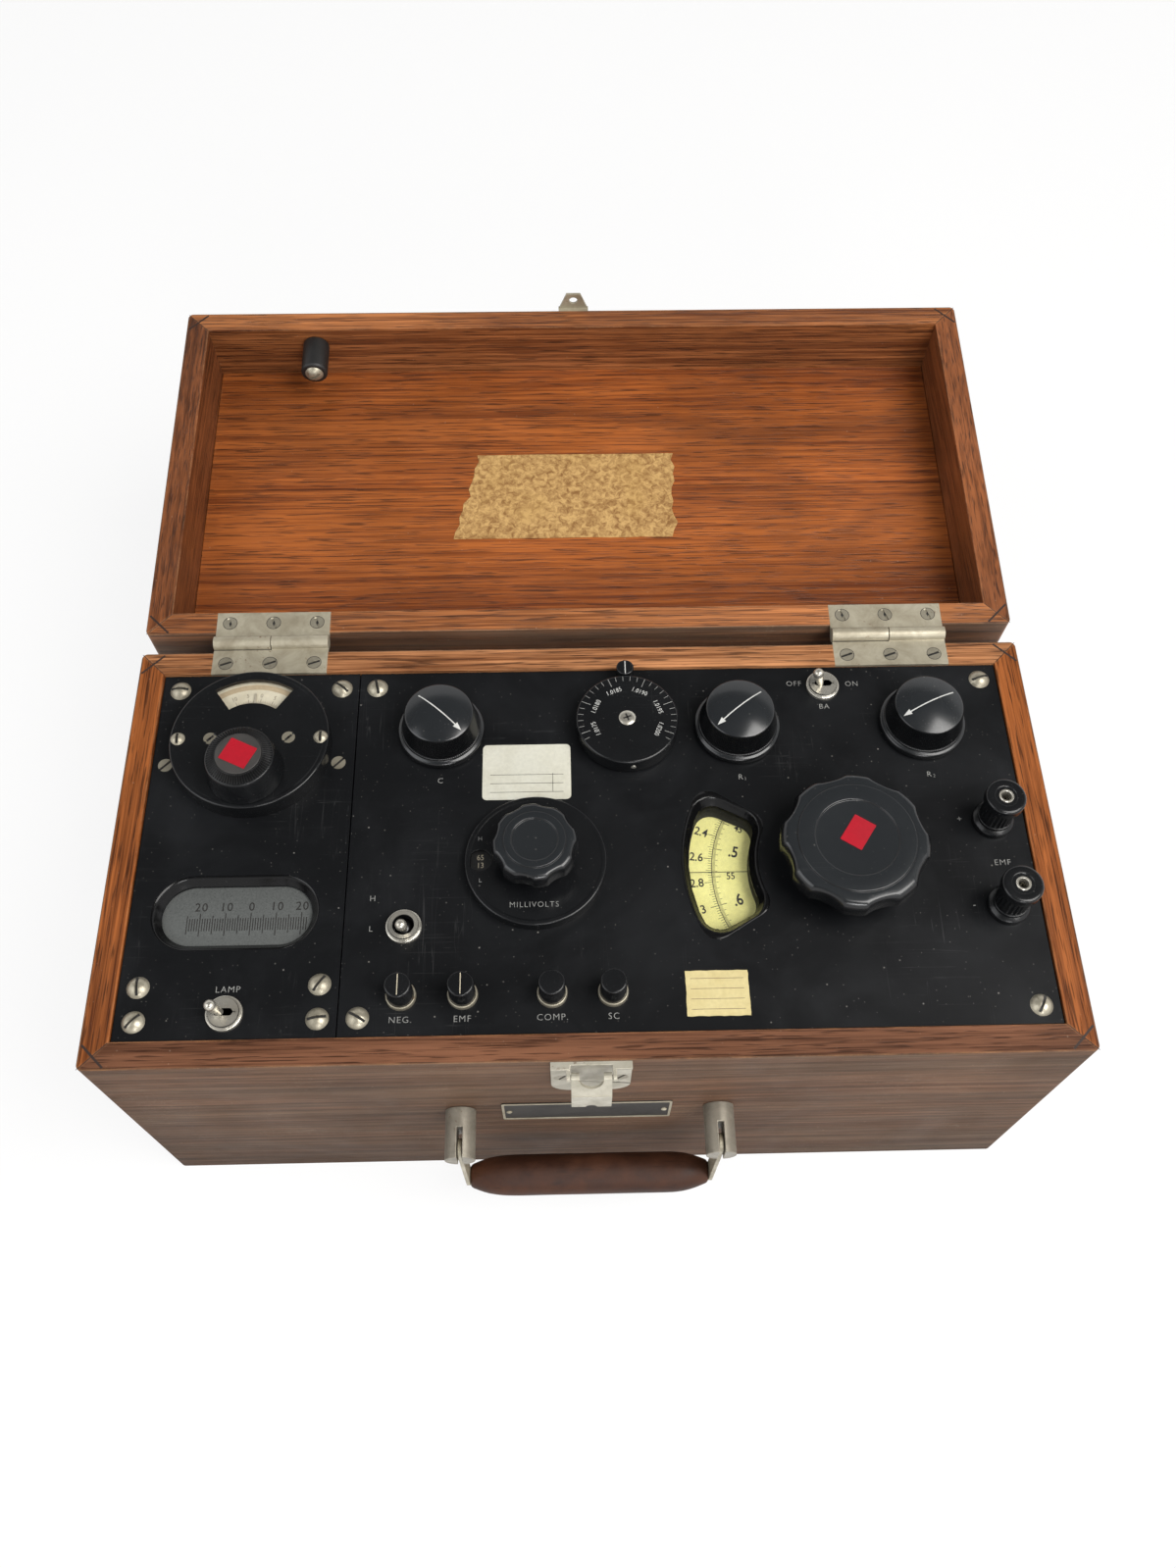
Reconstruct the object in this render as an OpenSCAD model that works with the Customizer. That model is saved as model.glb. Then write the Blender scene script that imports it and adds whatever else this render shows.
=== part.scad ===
// Millivolt potentiometer in a hinged wooden case, drawn open as it stands in use.
// X runs right, Y to the back, Z up; the origin is the centre of the underside of the case.
// Sizes are millimetres and degrees. Heights named _rise are measured from the panel top.

/* [Case] */
// Outside width
case_w = 390; // [386:1:420]
// Outside depth, front to back
case_d = 189; // [188:1:215]
// Height of the lower box
case_h = 156; // [140:1:190]
// Thickness of the wall boards
board_t = 11; // [9:0.5:11.5]
// Thickness of the base board
base_t = 9; // [6:0.5:14]
// Radius on the upright outer corners
corner_r = 2.5; // [1:0.5:5]

/* [Lid] */
// Height of the lid walls
lid_h = 40; // [38:1:60]
// Thickness of the lid top board
lid_top_t = 10; // [6:0.5:11]
// Gap between the rims when the lid is shut
lid_gap = 0.4; // [0.3:0.1:1]
// Angle the lid stands open
lid_open = 176.3; // [100:0.1:185]
// Centre of the bumper along the lid
bumper_x = -131.5; // [-132:0.5:-120]
// Bumper radius
bumper_r = 6.6; // [5:0.1:7]
// Bumper length
bumper_len = 19; // [12:0.5:24]
// Bumper centre above the lid rim
bumper_up = 10.5; // [8:0.5:20]

/* [Hinges] */
// Hinge centres either side of the middle
hinge_at = 138.2; // [100:0.1:150]
// Hinge length
hinge_len = 50.8; // [40:0.1:60]
// Hinge axis behind the rear face
hinge_out = 5.1; // [4.5:0.1:7]
// Leaf thickness
leaf_t = 1.6; // [1.2:0.1:2.2]
// Barrel radius
barrel_r = 3.3; // [3:0.1:3.8]
// Hinge pin radius
hinge_pin_r = 1.6; // [1.2:0.1:2]
// Gap between a leaf and the other leaf's knuckle
leaf_gap = 0.4; // [0.3:0.05:0.8]
// Spacing of the leaf screws
leaf_screw_pitch = 19.5; // [15:0.5:20]
// Radius of the countersunk heads
csk_r = 3.1; // [2.5:0.1:3.5]
// Shank radius of the wood screws
wood_screw_r = 1.4; // [1:0.1:1.8]
// Length of the wood screws
wood_screw_len = 10; // [6:0.5:14]

/* [Panels] */
// Panel thickness
panel_t = 4.8; // [4.6:0.1:5.2]
// Panel top below the rim
panel_recess = 1; // [0.4:0.1:2]
// Gap between panel and wall
panel_fit = 0.5; // [0.3:0.1:1]
// Seam between the two panels
seam_x = -97.7; // [-98.5:0.1:-97]
// Width of the seam
seam_gap = 0.5; // [0.3:0.1:1]
// Screws in from the panel edges
screw_inset = 7.5; // [6.5:0.1:8]
// Second row of screws behind the front one on the galvanometer panel
second_row = 14; // [11:0.5:16]
// Round head radius
head_r = 4.55; // [3.5:0.05:5]
// Round head height
head_h = 2.6; // [1.5:0.1:3.2]
// Screw slot width
slot_w = 1.1; // [0.8:0.1:1.5]
// Screw slot depth
slot_deep = 1.2; // [0.8:0.1:1.4]
// Panel screw shank radius
screw_r = 2; // [1.5:0.1:2.3]
// Panel screw length
screw_len = 16; // [10:0.5:20]
// Play of a shank in a panel hole
hole_play = 0.3; // [0.15:0.05:0.5]
// Height of the blocks under the panels
block_h = 24; // [21:0.5:30]
// Block beyond the screw centres
block_margin = 6.5; // [5:0.5:7.5]

/* [Fits] */
// Radial clearance of turning shafts
running_fit = 0.05; // [0.02:0.01:0.1]
// Gap between pieces that move past each other
pass_gap = 0.3; // [0.3:0.05:0.4]

/* [Galvanometer] */
// Centre of the cover
gal_at = [-141.4, 45.8]; // [-142:0.1:46]
// Cover radius
gal_r = 33.3; // [33:0.1:34]
// Cover height
gal_h = 9; // [8.8:0.1:10]
// Cover wall and top thickness
gal_wall = 2; // [1.5:0.1:2.1]
// Inner radius of the arc window
arc_in = 17.3; // [16.5:0.1:19]
// Outer radius of the arc window
arc_out = 29.3; // [27:0.1:29.6]
// Half angle of the arc window
arc_half = 35; // [25:1:38]
// Cover screws from the centre
cover_screw_at = 30.1; // [29.9:0.1:30.2]
// Cover screw radius
cover_screw_r = 1.3; // [1:0.1:1.4]
// Cover screw head radius
cover_head_r = 3.1; // [2.6:0.1:3.5]
// Cover screw head height
cover_head_h = 1.8; // [1.6:0.1:2.4]
// Small screws from the centre
small_screw_at = 16.5; // [14:0.5:17]
// Small screw head radius
small_head_r = 2.8; // [2:0.1:3.2]
// Scale plate top above the panel
scale_rise = 5.2; // [4.5:0.1:5.4]
// Scale plate thickness
scale_t = 1; // [0.6:0.1:1.5]
// Magnet radius
magnet_r = 25.5; // [22:0.1:26]
// Magnet height
magnet_h = 48; // [35:1:55]
// Magnet bore radius
magnet_bore = 9; // [8.5:0.1:11]
// Coil spindle radius
spindle_r = 0.8; // [0.6:0.05:1]
// Pointer length
pointer_len = 24; // [20:0.5:27]
// Mounting screws from the centre
mount_screw_at = 36.7; // [36.2:0.1:37]
// Half depth of the mounting ears
mount_ear = 6; // [4:0.5:8]
// Thickness of the mounting ears and of the magnet floor
magnet_plate = 3; // [2:0.5:4]
// Mounting screws in front of the centre
mount_screw_front = 7.6; // [4:0.1:10]
// Zero knob in front of the cover centre
zero_front = 16; // [15.5:0.1:16.3]
// Zero knob base radius
zero_base_r = 16; // [12:0.1:16.1]
// Zero knob body radius
zero_r = 14.2; // [12:0.05:15]
// Zero knob insert radius
zero_insert_r = 9.6; // [6:0.1:10]
// Zero knob top above the panel
zero_rise = 24; // [20:0.5:28]
// Zero knob shaft radius
zero_shaft_r = 3; // [2:0.1:3.4]

/* [Lamp scale] */
// Centre of the scale window
win_at = [-141.5, -30.2]; // [-142:0.1:-29]
// Window length at the panel top
win_len = 67.3; // [50:0.1:68]
// Window width at the panel top
win_wide = 32.5; // [24:0.1:33]
// Width of the window bevel
win_bevel = 3.3; // [2:0.1:4]
// Straight lip under the bevel
win_lip = 1.4; // [0.8:0.1:2]
// Glass beyond the opening
glass_lap = 2.2; // [1.5:0.1:2.6]
// Glass thickness
glass_t = 2.5; // [1.5:0.1:4]
// Lamp holder behind the window centre
lamp_back = 32; // [28:0.5:34]
// Lamp holder radius
lamp_r = 6.5; // [5:0.1:7]
// Foot beyond the lamp holder
lamp_foot = 2; // [1:0.1:2.5]
// Lamp holder length
lamp_len = 18; // [12:0.5:24]

/* [Toggle switches] */
// Lamp switch
lamp_at = [-141.3, -72.9]; // [-142:0.1:-72]
// Battery switch
battery_at = [106, 73.1]; // [73:0.1:107]
// Range switch
range_at = [-73.6, -38]; // [-74:0.1:-37]
// Switch body length, width and depth
switch_box = [28, 16, 22]; // [15:0.5:30]
// Neck radius
neck_r = 6; // [5.8:0.1:6.2]
// Neck above the panel
neck_rise = 2.6; // [2.4:0.1:3.2]
// Lever pivot below the panel top
pivot_drop = 2.6; // [2.5:0.1:3.2]
// Lever ball radius
ball_r = 3.9; // [3.6:0.1:4]
// Lever cross pin radius
lever_pin_r = 1; // [0.8:0.1:1.2]
// Lever radius at the root
lever_r = 1.6; // [1.2:0.1:1.7]
// Lever radius at the tip
lever_tip_r = 2.3; // [1.8:0.1:2.6]
// Lever length from pivot to tip
lever_len = 15.5; // [12:0.5:16.5]
// Lever lean
lever_lean = 14; // [10:0.5:15]
// Slotted plate thickness
guard_t = 0.8; // [0.5:0.1:0.9]
// Nut radius
nut_r = 7.2; // [6.8:0.1:7.8]
// Nut height
nut_h = 2; // [1.5:0.1:2.3]

/* [Knobs] */
// C knob
c_at = [-61, 52.5]; // [-62:0.1:53]
// R1 knob
r1_at = [66.5, 52.5]; // [52:0.1:67]
// R2 knob
r2_at = [147, 53]; // [52:0.1:148]
// Knob skirt radius
skirt_r = 18.5; // [15:0.1:19]
// Knob top radius
knob_top_r = 13.5; // [10:0.1:15]
// Knob top above the panel
knob_rise = 17; // [14:0.5:20]
// Rise of the knob dome
dome_h = 1.2; // [0.6:0.1:2]
// Knob underside above the panel
knob_lift = 0.8; // [0.4:0.1:1.2]
// Recess under the knobs
recess_r = 6.5; // [5.2:0.1:8]
// Control shaft radius
shaft_r = 3.175; // [2.9:0.025:3.4]
// Control bushing radius
bush_r = 4.7; // [4.3:0.1:5]
// Bushing above the panel
bush_rise = 3; // [2:0.1:3.6]
// Rheostat body radius under C and the standard dial
pot_r = 18; // [14:0.5:20]
// Rheostat body radius under R1 and R2
small_pot_r = 16; // [12:0.5:17]
// Rheostat body depth
pot_deep = 20; // [14:0.5:26]
// Standard dial
standard_at = [18.8, 52.8]; // [18:0.1:54]
// Standard dial radius
standard_r = 22; // [16:0.1:22]
// Standard dial top above the panel
standard_rise = 9; // [6:0.5:12]
// Index post radius
index_r = 3.8; // [2.5:0.1:3.9]
// Index post height
index_h = 9; // [6:0.5:12]

/* [Millivolt switch] */
// Switch axis
mv_at = [-20.7, -11.3]; // [-22:0.1:-11]
// Cover radius
mv_r = 28.65; // [28.4:0.05:30]
// Cover height
mv_h = 5; // [4.6:0.1:6]
// Cover wall and top thickness
mv_wall = 1.5; // [1.2:0.1:1.6]
// Cover window from the axis
mv_win_at = 22.6; // [20:0.1:22.8]
// Cover window radius
mv_win_r = 4.8; // [3.5:0.1:5]
// Number disc radius
disc_r = 26.5; // [24:0.1:26.8]
// Number disc thickness
disc_t = 1; // [0.6:0.1:1.2]
// Number disc underside above the panel
disc_rise = 1.6; // [1.6:0.05:2]
// Knob radius
mv_knob_r = 17.4; // [14:0.1:18]
// Knob underside above the panel
mv_knob_low = 14; // [8:0.5:15]
// Knob top above the panel
mv_knob_rise = 23; // [18:0.5:24]
// Hub radius
mv_hub_r = 7.5; // [6:0.1:9]
// Turn of the knob lobes
mv_lobe_turn = 8; // [0:1:44]
// Inner and outer radius of the ring on the knob
mv_ring = [9.1, 12.3]; // [8:0.1:13]
// Switch deck radius
deck_r = 29; // [25:0.5:32]
// Switch deck depth
deck_deep = 24; // [16:0.5:30]

/* [Slidewire] */
// Slidewire axis
slide_at = [107.5, -12]; // [-12.5:0.1:108]
// Knob radius
slide_knob_r = 30.2; // [26:0.05:31]
// Knob underside above the panel
slide_knob_low = 12; // [7:0.5:13]
// Knob top above the panel
slide_knob_rise = 21.5; // [17:0.5:24]
// Hub radius
slide_hub_r = 14; // [10:0.5:18]
// Turn of the knob lobes
slide_lobe_turn = 38; // [0:1:44]
// Inner and outer radius of the ring on the knob
slide_ring = [16.6, 23.6]; // [15:0.1:25]
// Shaft radius
slide_shaft_r = 4; // [3.5:0.1:4.5]
// Dial radius
dial_r = 66.5; // [62:0.1:67]
// Dial thickness
dial_t = 2; // [1.5:0.1:2.5]
// Dial top below the panel top
dial_drop = 11.5; // [11.4:0.1:13]
// Dial hub radius
dial_hub_r = 9; // [7:0.5:12]
// Inner radius of the kidney window
kidney_in = 37; // [35.5:0.1:38]
// Outer radius of the kidney window
kidney_out = 68.7; // [66:0.1:69]
// Half angle of the kidney window
kidney_half = 32; // [28:0.5:33]
// Corner radius of the kidney window
kidney_corner = 7; // [5:0.1:8]
// Width of the kidney bevel
kidney_bevel = 3.5; // [2.5:0.1:4]
// Clear window beyond the kidney
window_lap = 2; // [1.5:0.1:2.5]
// Clear window thickness
window_t = 3.2; // [2:0.1:3.6]
// Slidewire base radius
slide_base_r = 57; // [50:0.5:58]
// Slidewire base depth
slide_base_deep = 24; // [16:0.5:30]
// Pillar radius
pillar_r = 3; // [2:0.1:3.2]
// Gap between dial rim and pillar
pillar_gap = 1.5; // [1:0.1:2]
// Pillar ear height
pillar_ear = 6; // [4:0.5:8]
// Pillar directions
pillar_turns = [90, 225, 310]; // [85:1:315]

/* [Knob lobes] */
// Lobes of the millivolt and slidewire knobs
lobes = 8; // [6:1:9]
// Flute radius as part of the knob radius
flute_part = 0.48; // [0.25:0.01:0.52]
// Flute centre outside the knob as part of the knob radius
flute_out = 0.36; // [0.14:0.01:0.45]
// Height of the raised ring on the lobed knobs
ring_h = 0.8; // [0.4:0.1:1.2]

/* [Keys] */
// NEG key across
neg_x = -73.5; // [-75:0.1:-72]
// EMF key across
emf_x = -49.5; // [-51:0.1:-48]
// COMP key across
comp_x = -14.6; // [-16:0.1:-13]
// SC key across
sc_x = 9.2; // [8:0.1:11]
// Row of the keys
key_y = -67; // [-69:0.1:-66]
// Key cap radius
key_r = 5.2; // [4.4:0.1:5.6]
// Key top above the panel
key_rise = 13.5; // [10:0.5:16]
// Cap skirt below the panel top
key_skirt = 0.5; // [0.2:0.1:0.8]
// Key travel
key_travel = 3; // [2:0.1:3.4]
// Sliding clearance of a cap in its ferrule
key_fit = 0.1; // [0.08:0.01:0.1]
// Ferrule wall
ferrule_wall = 0.6; // [0.5:0.1:1.2]
// Ferrule height
ferrule_h = 2.5; // [1.5:0.1:4]
// Plunger radius
plunger_r = 2; // [1.5:0.1:2.5]
// Key body radius
key_body_r = 7; // [6.2:0.1:8]
// Key body depth
key_body_deep = 20; // [14:0.5:24]

/* [Binding posts] */
// Plus post
plus_at = [170, 5.2]; // [5:0.1:171]
// Minus post
minus_at = [170, -33.5]; // [-34:0.1:171]
// Base flange radius
post_base_r = 8.6; // [7.5:0.1:9]
// Base flange height
post_base_h = 4; // [3:0.1:5]
// Stud radius
stud_r = 3; // [2.8:0.1:3.4]
// Jack bore radius
jack_r = 2.05; // [2:0.05:2.1]
// Jack bore depth
jack_deep = 18; // [12:0.5:20]
// Stud below the panel top
stud_drop = 10.3; // [9:0.1:10.6]
// Nut under the panel, radius and height
post_nut = [5.5, 2.5]; // [2:0.1:6]
// Collar radius
collar_r = 7.2; // [6:0.1:8]
// Collar height
collar_h = 1.5; // [1:0.1:2]
// Cap grip radius
cap_grip_r = 6.7; // [5.5:0.1:7.4]
// Cap flange radius
cap_r = 8.15; // [7:0.05:8.6]
// Cap flange height
cap_flange_h = 5; // [3:0.1:7]
// Cap top above the panel
cap_rise = 22.2; // [19:0.1:23]
// Stud beyond the cap
stud_proud = 0.3; // [0.2:0.1:1]

/* [Front hardware] */
// Half width and height of the latch plate
latch_plate = [15.7, 33.6]; // [14:0.1:36]
// Latch plate thickness
latch_t = 1.5; // [1:0.1:1.6]
// Lower corner radius of the latch plate
latch_corner = 8; // [3:0.5:9]
// Latch plate top below the rim
latch_down = 0.4; // [0.3:0.1:1]
// Top flanges of the latch plate out from the front face
latch_flange = 3.2; // [2:0.1:4]
// Latch screws from the middle
latch_screw_x = 11.5; // [10.5:0.1:12]
// Latch screws below the rim
latch_screw_down = 17; // [14:0.5:20]
// Lever half width
latch_lever_w = 7.8; // [7:0.1:8]
// Lever pivot out from the front face
latch_pivot_out = 5.6; // [5.4:0.1:6.2]
// Lever pivot below the rim
latch_pivot_down = 2.6; // [2.4:0.1:4]
// Lever knuckle radius
latch_knuckle_r = 1.8; // [1.6:0.1:1.9]
// Lever pin radius
latch_pin_r = 0.9; // [0.6:0.05:1]
// Lever sheet thickness
lever_t = 1.4; // [1:0.1:1.6]
// Length of the lever to its bend
lever_main = 9.5; // [8:0.5:11]
// Length of the lever lip
lever_lip = 13; // [8:0.5:14]
// Notch radius in the lever lip
lip_notch = 2.2; // [1.5:0.1:3]
// Lean of the released lever
lever_out = 25; // [20:1:30]
// Half width of the gap for the keeper tongue
tongue_gap = 4.6; // [4.4:0.1:5]
// Ear thickness
ear_t = 1.5; // [1:0.1:2]
// Keeper half width
keeper_w = 7.5; // [6:0.1:7.6]
// Keeper height on the lid
keeper_h = 13; // [10:0.5:16]
// Tongue tip half width
tongue_tip = 3.5; // [2.5:0.1:4]
// Tongue below the lid rim
tongue_len = 9; // [6:0.5:10]
// Tongue out from the front face
tongue_out = 2; // [1.9:0.1:2.1]
// Tongue thickness
tongue_t = 1.2; // [0.8:0.1:1.3]
// Handle studs either side of the middle
handle_at = 54.4; // [45:0.1:65]
// Handle studs above the underside
handle_z = 89.5; // [76:0.5:100]
// Stud radius
handle_stud_r = 6.4; // [5.5:0.05:6.8]
// Stud length
handle_stud_len = 21.2; // [20.8:0.1:24]
// Slot in the stud
handle_slot = 2.4; // [2.4:0.1:2.8]
// Slot depth from the tip
handle_slot_deep = 12.7; // [10.5:0.1:14]
// Cross pin in from the stud tip
handle_pin_in = 5.2; // [5:0.1:5.6]
// Cross pin radius
handle_pin_r = 1.5; // [1:0.1:1.8]
// Stud shank radius
handle_shank_r = 3; // [2:0.1:4]
// Inner nut radius and height
handle_nut = [7, 3]; // [2:0.5:9]
// Tang thickness
tang_t = 1.8; // [1.4:0.1:1.8]
// Tang width
tang_w = 8; // [6:0.5:9]
// Tang buried in the grip
tang_deep = 16; // [6:0.5:20]
// Grip radius
grip_r = 9; // [8:0.1:9.5]
// Grip radius at its ends
grip_end_r = 5.2; // [4.5:0.1:6]
// Length of the rounded grip ends
grip_taper = 14; // [8:0.5:18]
// Grip below the studs
grip_drop = 51.5; // [44:0.5:54]

/* [Cells] */
// Dry cell radius
cell_r = 16.6; // [12:0.1:17]
// Dry cell height
cell_h = 61; // [45:0.5:65]
// Dry cell spacing
cell_pitch = 36; // [35:0.5:40]
// Standard cell can, width, depth and height
can_box = [30, 45, 60]; // [20:1:70]

/* [Hidden] */
$fn = 40;
screw_fn = 20;
cut = 1;
// Case that the places of the controls were measured on
real_w = 390;
real_d = 189;
in_hw = case_w / 2 - board_t;
in_hd = case_d / 2 - board_t;
front_y = -case_d / 2;
panel_z = case_h - panel_recess;
under_z = panel_z - panel_t;
panel_hw = in_hw - panel_fit;
panel_hd = in_hd - panel_fit;
grow = [(case_w - real_w) / 2, (case_d - real_d) / 2];
seam_left = seam_x - grow[0] - seam_gap / 2;
seam_right = seam_x - grow[0] + seam_gap / 2;
lid_z = case_h + lid_gap;
hinge_y = case_d / 2 + hinge_out;
hinge_z = case_h + lid_gap / 2;
rim_mid = case_d / 2 - board_t / 2;
gal_screw_x = [-panel_hw + screw_inset, seam_left - screw_inset];
main_screw_x = [seam_right + screw_inset, panel_hw - screw_inset];
screw_y = panel_hd - screw_inset;
gal_pos = by_edge(gal_at, -1, 1);
lamp_pos = by_edge(lamp_at, -1, -1);
win_pos = [win_at[0] - grow[0], between(win_at[1], [lamp_at[1], gal_at[1]], [lamp_pos[1], gal_pos[1]])];
battery_pos = by_edge(battery_at, 1, 1);
range_pos = by_edge(range_at, -1, -1);
c_pos = by_edge(c_at, -1, 1);
r1_pos = by_edge(r1_at, 1, 1);
r2_pos = by_edge(r2_at, 1, 1);
standard_pos = by_edge(standard_at, 1, 1);
slide_pos = by_edge(slide_at, 1, 0) - [grow[1] / 4, 0];
mv_pos = [between(mv_at[0], [range_at[0], slide_at[0]], [range_pos[0], slide_pos[0]]), mv_at[1]];
plus_pos = by_edge(plus_at, 1, 0);
minus_pos = by_edge(minus_at, 1, 0);
bumper_pos = bumper_x - grow[0];
dial_rim = dial_r + grow[1];
base_rim = slide_base_r + grow[1];
kidney_low = kidney_in + grow[1];
kidney_high = kidney_out + grow[1];
// Degrees the bevel and the clear window take off each end of the kidney
bevel_turn = 3.5;
window_turn = 1.5;
gal_screws = [for (x = gal_screw_x, y = [screw_y, -screw_y, -screw_y + second_row]) [x, y]];
main_screws = [for (x = main_screw_x, y = [screw_y, -screw_y]) [x, y]];
mount_screws = [for (s = [-1, 1]) [gal_pos[0] + s * mount_screw_at, gal_pos[1] - mount_screw_front]];
cover_screws = [for (s = [-1, 1]) [gal_pos[0] + s * cover_screw_at, gal_pos[1]]];
small_screws = [for (s = [-1, 1]) [gal_pos[0] + s * small_screw_at, gal_pos[1]]];
zero_at = [gal_pos[0], gal_pos[1] - zero_front];
lamp_holder_at = [win_pos[0],
    between(win_at[1] + lamp_back, [win_at[1], gal_at[1]], [win_pos[1], gal_pos[1]])];
index_at = [standard_pos[0], panel_hd - index_r - pass_gap];
index_peg_r = index_r / 2;
toggles = [lamp_pos, battery_pos, range_pos];
pots = [c_pos, standard_pos];
small_pots = [r1_pos, r2_pos];
keys = [by_edge([neg_x, key_y], -1, -1), by_edge([emf_x, key_y], -1, -1),
    by_edge([comp_x, key_y], 0, -1), by_edge([sc_x, key_y], 0, -1)];
posts = [plus_pos, minus_pos];
lever_pin_half = ball_r + pass_gap + lever_pin_r;
key_hole_r = key_r + key_fit + pass_gap;
key_bore_top = panel_z + key_rise * 0.6;
pointer_t = 0.6;
bridge_h = 2;
dial_z = panel_z - dial_drop;
slide_base_z = dial_z - dial_t - cut;
pillar_ring = dial_rim + pillar_gap + pillar_r;
collar_z = panel_z + post_base_h + pass_gap;
cap_z = collar_z + collar_h + pass_gap;
handle_y = front_y - handle_stud_len + handle_pin_in;
latch_y = front_y - latch_pivot_out;
latch_z = case_h - latch_pivot_down;
block_left = [-in_hw, gal_screw_x[0] + block_margin];
block_mid = [gal_screw_x[1] - block_margin, main_screw_x[0] + block_margin];
block_right = [main_screw_x[1] - block_margin, in_hw];
block_rear = [screw_y - block_margin, in_hd];
block_front = [-in_hd, -screw_y + block_margin];
block_deep = [-in_hd, -screw_y + second_row + block_margin];

// A place that keeps its distance from the edges it stands by:
// -1 for left or front, 1 for right or rear, 0 for the middle
function by_edge(at, side, end) = [at[0] + side * grow[0], at[1] + end * grow[1]];

// A place that keeps its share of the way between two others, as measured and as they now stand
function between(v, was, now) = now[0] + (v - was[0]) * (now[1] - now[0]) / (was[1] - was[0]);

module put(at, z = 0) {
    translate([at[0], at[1], z]) children();
}

// Stands a shape drawn along Z so that it runs along X
module along_x() {
    rotate([0, 90, 0]) children();
}

// Stands a shape drawn along Z so that it runs out of the front face
module out_front() {
    rotate([90, 0, 0]) children();
}

module box(x, y, z) {
    translate([x[0], y[0], z[0]]) cube([x[1] - x[0], y[1] - y[0], z[1] - z[0]]);
}

module drill(r, low, high) {
    translate([0, 0, low]) cylinder(r = r, h = high - low);
}

// Swings the lid from shut to its open stand
module lid_pose() {
    translate([0, hinge_y, hinge_z]) rotate([-lid_open, 0, 0]) translate([0, -hinge_y, -hinge_z]) children();
}

module rounded_plan(w, d, r) {
    square([w - 2 * r, d], center = true);
    square([w, d - 2 * r], center = true);
    for (sx = [-1, 1], sy = [-1, 1])
        translate([sx * (w / 2 - r), sy * (d / 2 - r)]) circle(r);
}

// One wall of a mitred frame, its outer face reach from the centre
module mitred_wall(span, reach, turn, h) {
    intersection() {
        linear_extrude(h) rounded_plan(case_w, case_d, corner_r);
        rotate(turn) translate([0, -reach, 0]) linear_extrude(h)
            polygon([[-span / 2, 0], [span / 2, 0],
                [span / 2 - board_t, board_t], [board_t - span / 2, board_t]]);
    }
}

// Ring sector centred on the +Y side
module sector(r_in, r_out, half) {
    far = 3 * r_out;
    intersection() {
        difference() {
            circle(r_out);
            circle(r_in);
        }
        polygon([[0, 0], [far * sin(half), far * cos(half)], [-far * sin(half), far * cos(half)]]);
    }
}

// Ring sector with rounded corners, centred on the -X side
module kidney(r_in, r_out, half, r) {
    turn_in = asin(r / (r_in + r));
    turn_out = asin(r / (r_out - r));
    side_in = (r_in + r) * cos(turn_in);
    side_out = (r_out - r) * cos(turn_out);
    rotate(90) {
        sector(side_in, side_out, half);
        sector(side_in, r_out, half - turn_out);
        sector(r_in, side_out, half - turn_in);
        for (s = [-1, 1]) {
            rotate(s * (half - turn_in)) translate([0, r_in + r]) circle(r);
            rotate(s * (half - turn_out)) translate([0, r_out - r]) circle(r);
        }
    }
}

module stadium(len, wide) {
    square([len - wide, wide], center = true);
    for (s = [-1, 1])
        translate([s * (len - wide) / 2, 0]) circle(d = wide);
}

// Round slotted screw standing on z = 0
module round_screw(r, h, shank, length, turn) {
    ball = (r * r + h * h) / (2 * h);
    difference() {
        intersection() {
            translate([0, 0, h - ball]) sphere(ball, $fn = 2 * screw_fn);
            translate([-2 * r, -2 * r, 0]) cube([4 * r, 4 * r, h + cut]);
        }
        rotate(turn) translate([-2 * r, -slot_w / 2, h - slot_deep]) cube([4 * r, slot_w, slot_deep + cut]);
    }
    drill(shank, -length, slot_deep / 2, $fn = screw_fn);
}

// Countersunk slotted screw, its head flush with z = 0
module flush_screw(r, shank, deep, length, turn) {
    difference() {
        translate([0, 0, -deep]) cylinder(r1 = shank, r2 = r, h = deep, $fn = screw_fn);
        rotate(turn) translate([-2 * r, -slot_w / 2, -deep / 3]) cube([4 * r, slot_w, deep]);
    }
    drill(shank, -length, -deep / 2, $fn = screw_fn);
}

module flush_hole(r, shank, deep, length) {
    translate([0, 0, -deep]) cylinder(r1 = shank, r2 = r, h = deep, $fn = screw_fn);
    drill(shank, -length, 0, $fn = screw_fn);
}

// Places one child at each screw of one leaf
module leaf_screws() {
    for (side = [-1, 1], k = [-1, 0, 1])
        translate([side * hinge_at + k * leaf_screw_pitch, rim_mid, 0]) children();
}

module case_front_board() {
    color("saddlebrown") difference() {
        mitred_wall(case_w, case_d / 2, 0, case_h);
        for (s = [-1, 1])
            translate([s * handle_at, front_y + board_t + cut, handle_z]) out_front()
                cylinder(r = handle_shank_r, h = board_t + 2 * cut);
        latch_screw_places() out_front() drill(wood_screw_r, -wood_screw_len, cut, $fn = screw_fn);
    }
}

module case_rear_board() {
    color("saddlebrown") difference() {
        mitred_wall(case_w, case_d / 2, 180, case_h);
        for (s = [-1, 1])
            box([s * hinge_at - hinge_len / 2, s * hinge_at + hinge_len / 2],
                [in_hd - cut, case_d / 2 + cut], [case_h - leaf_t, case_h + cut]);
        translate([0, 0, case_h]) leaf_screws() drill(wood_screw_r, -wood_screw_len, cut, $fn = screw_fn);
    }
}

module case_side_boards() {
    color("saddlebrown") for (turn = [-90, 90])
        mitred_wall(case_d, case_w / 2, turn, case_h);
}

module case_base_board() {
    color("peru") box([-in_hw, in_hw], [-in_hd, in_hd], [0, base_t]);
}

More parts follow.
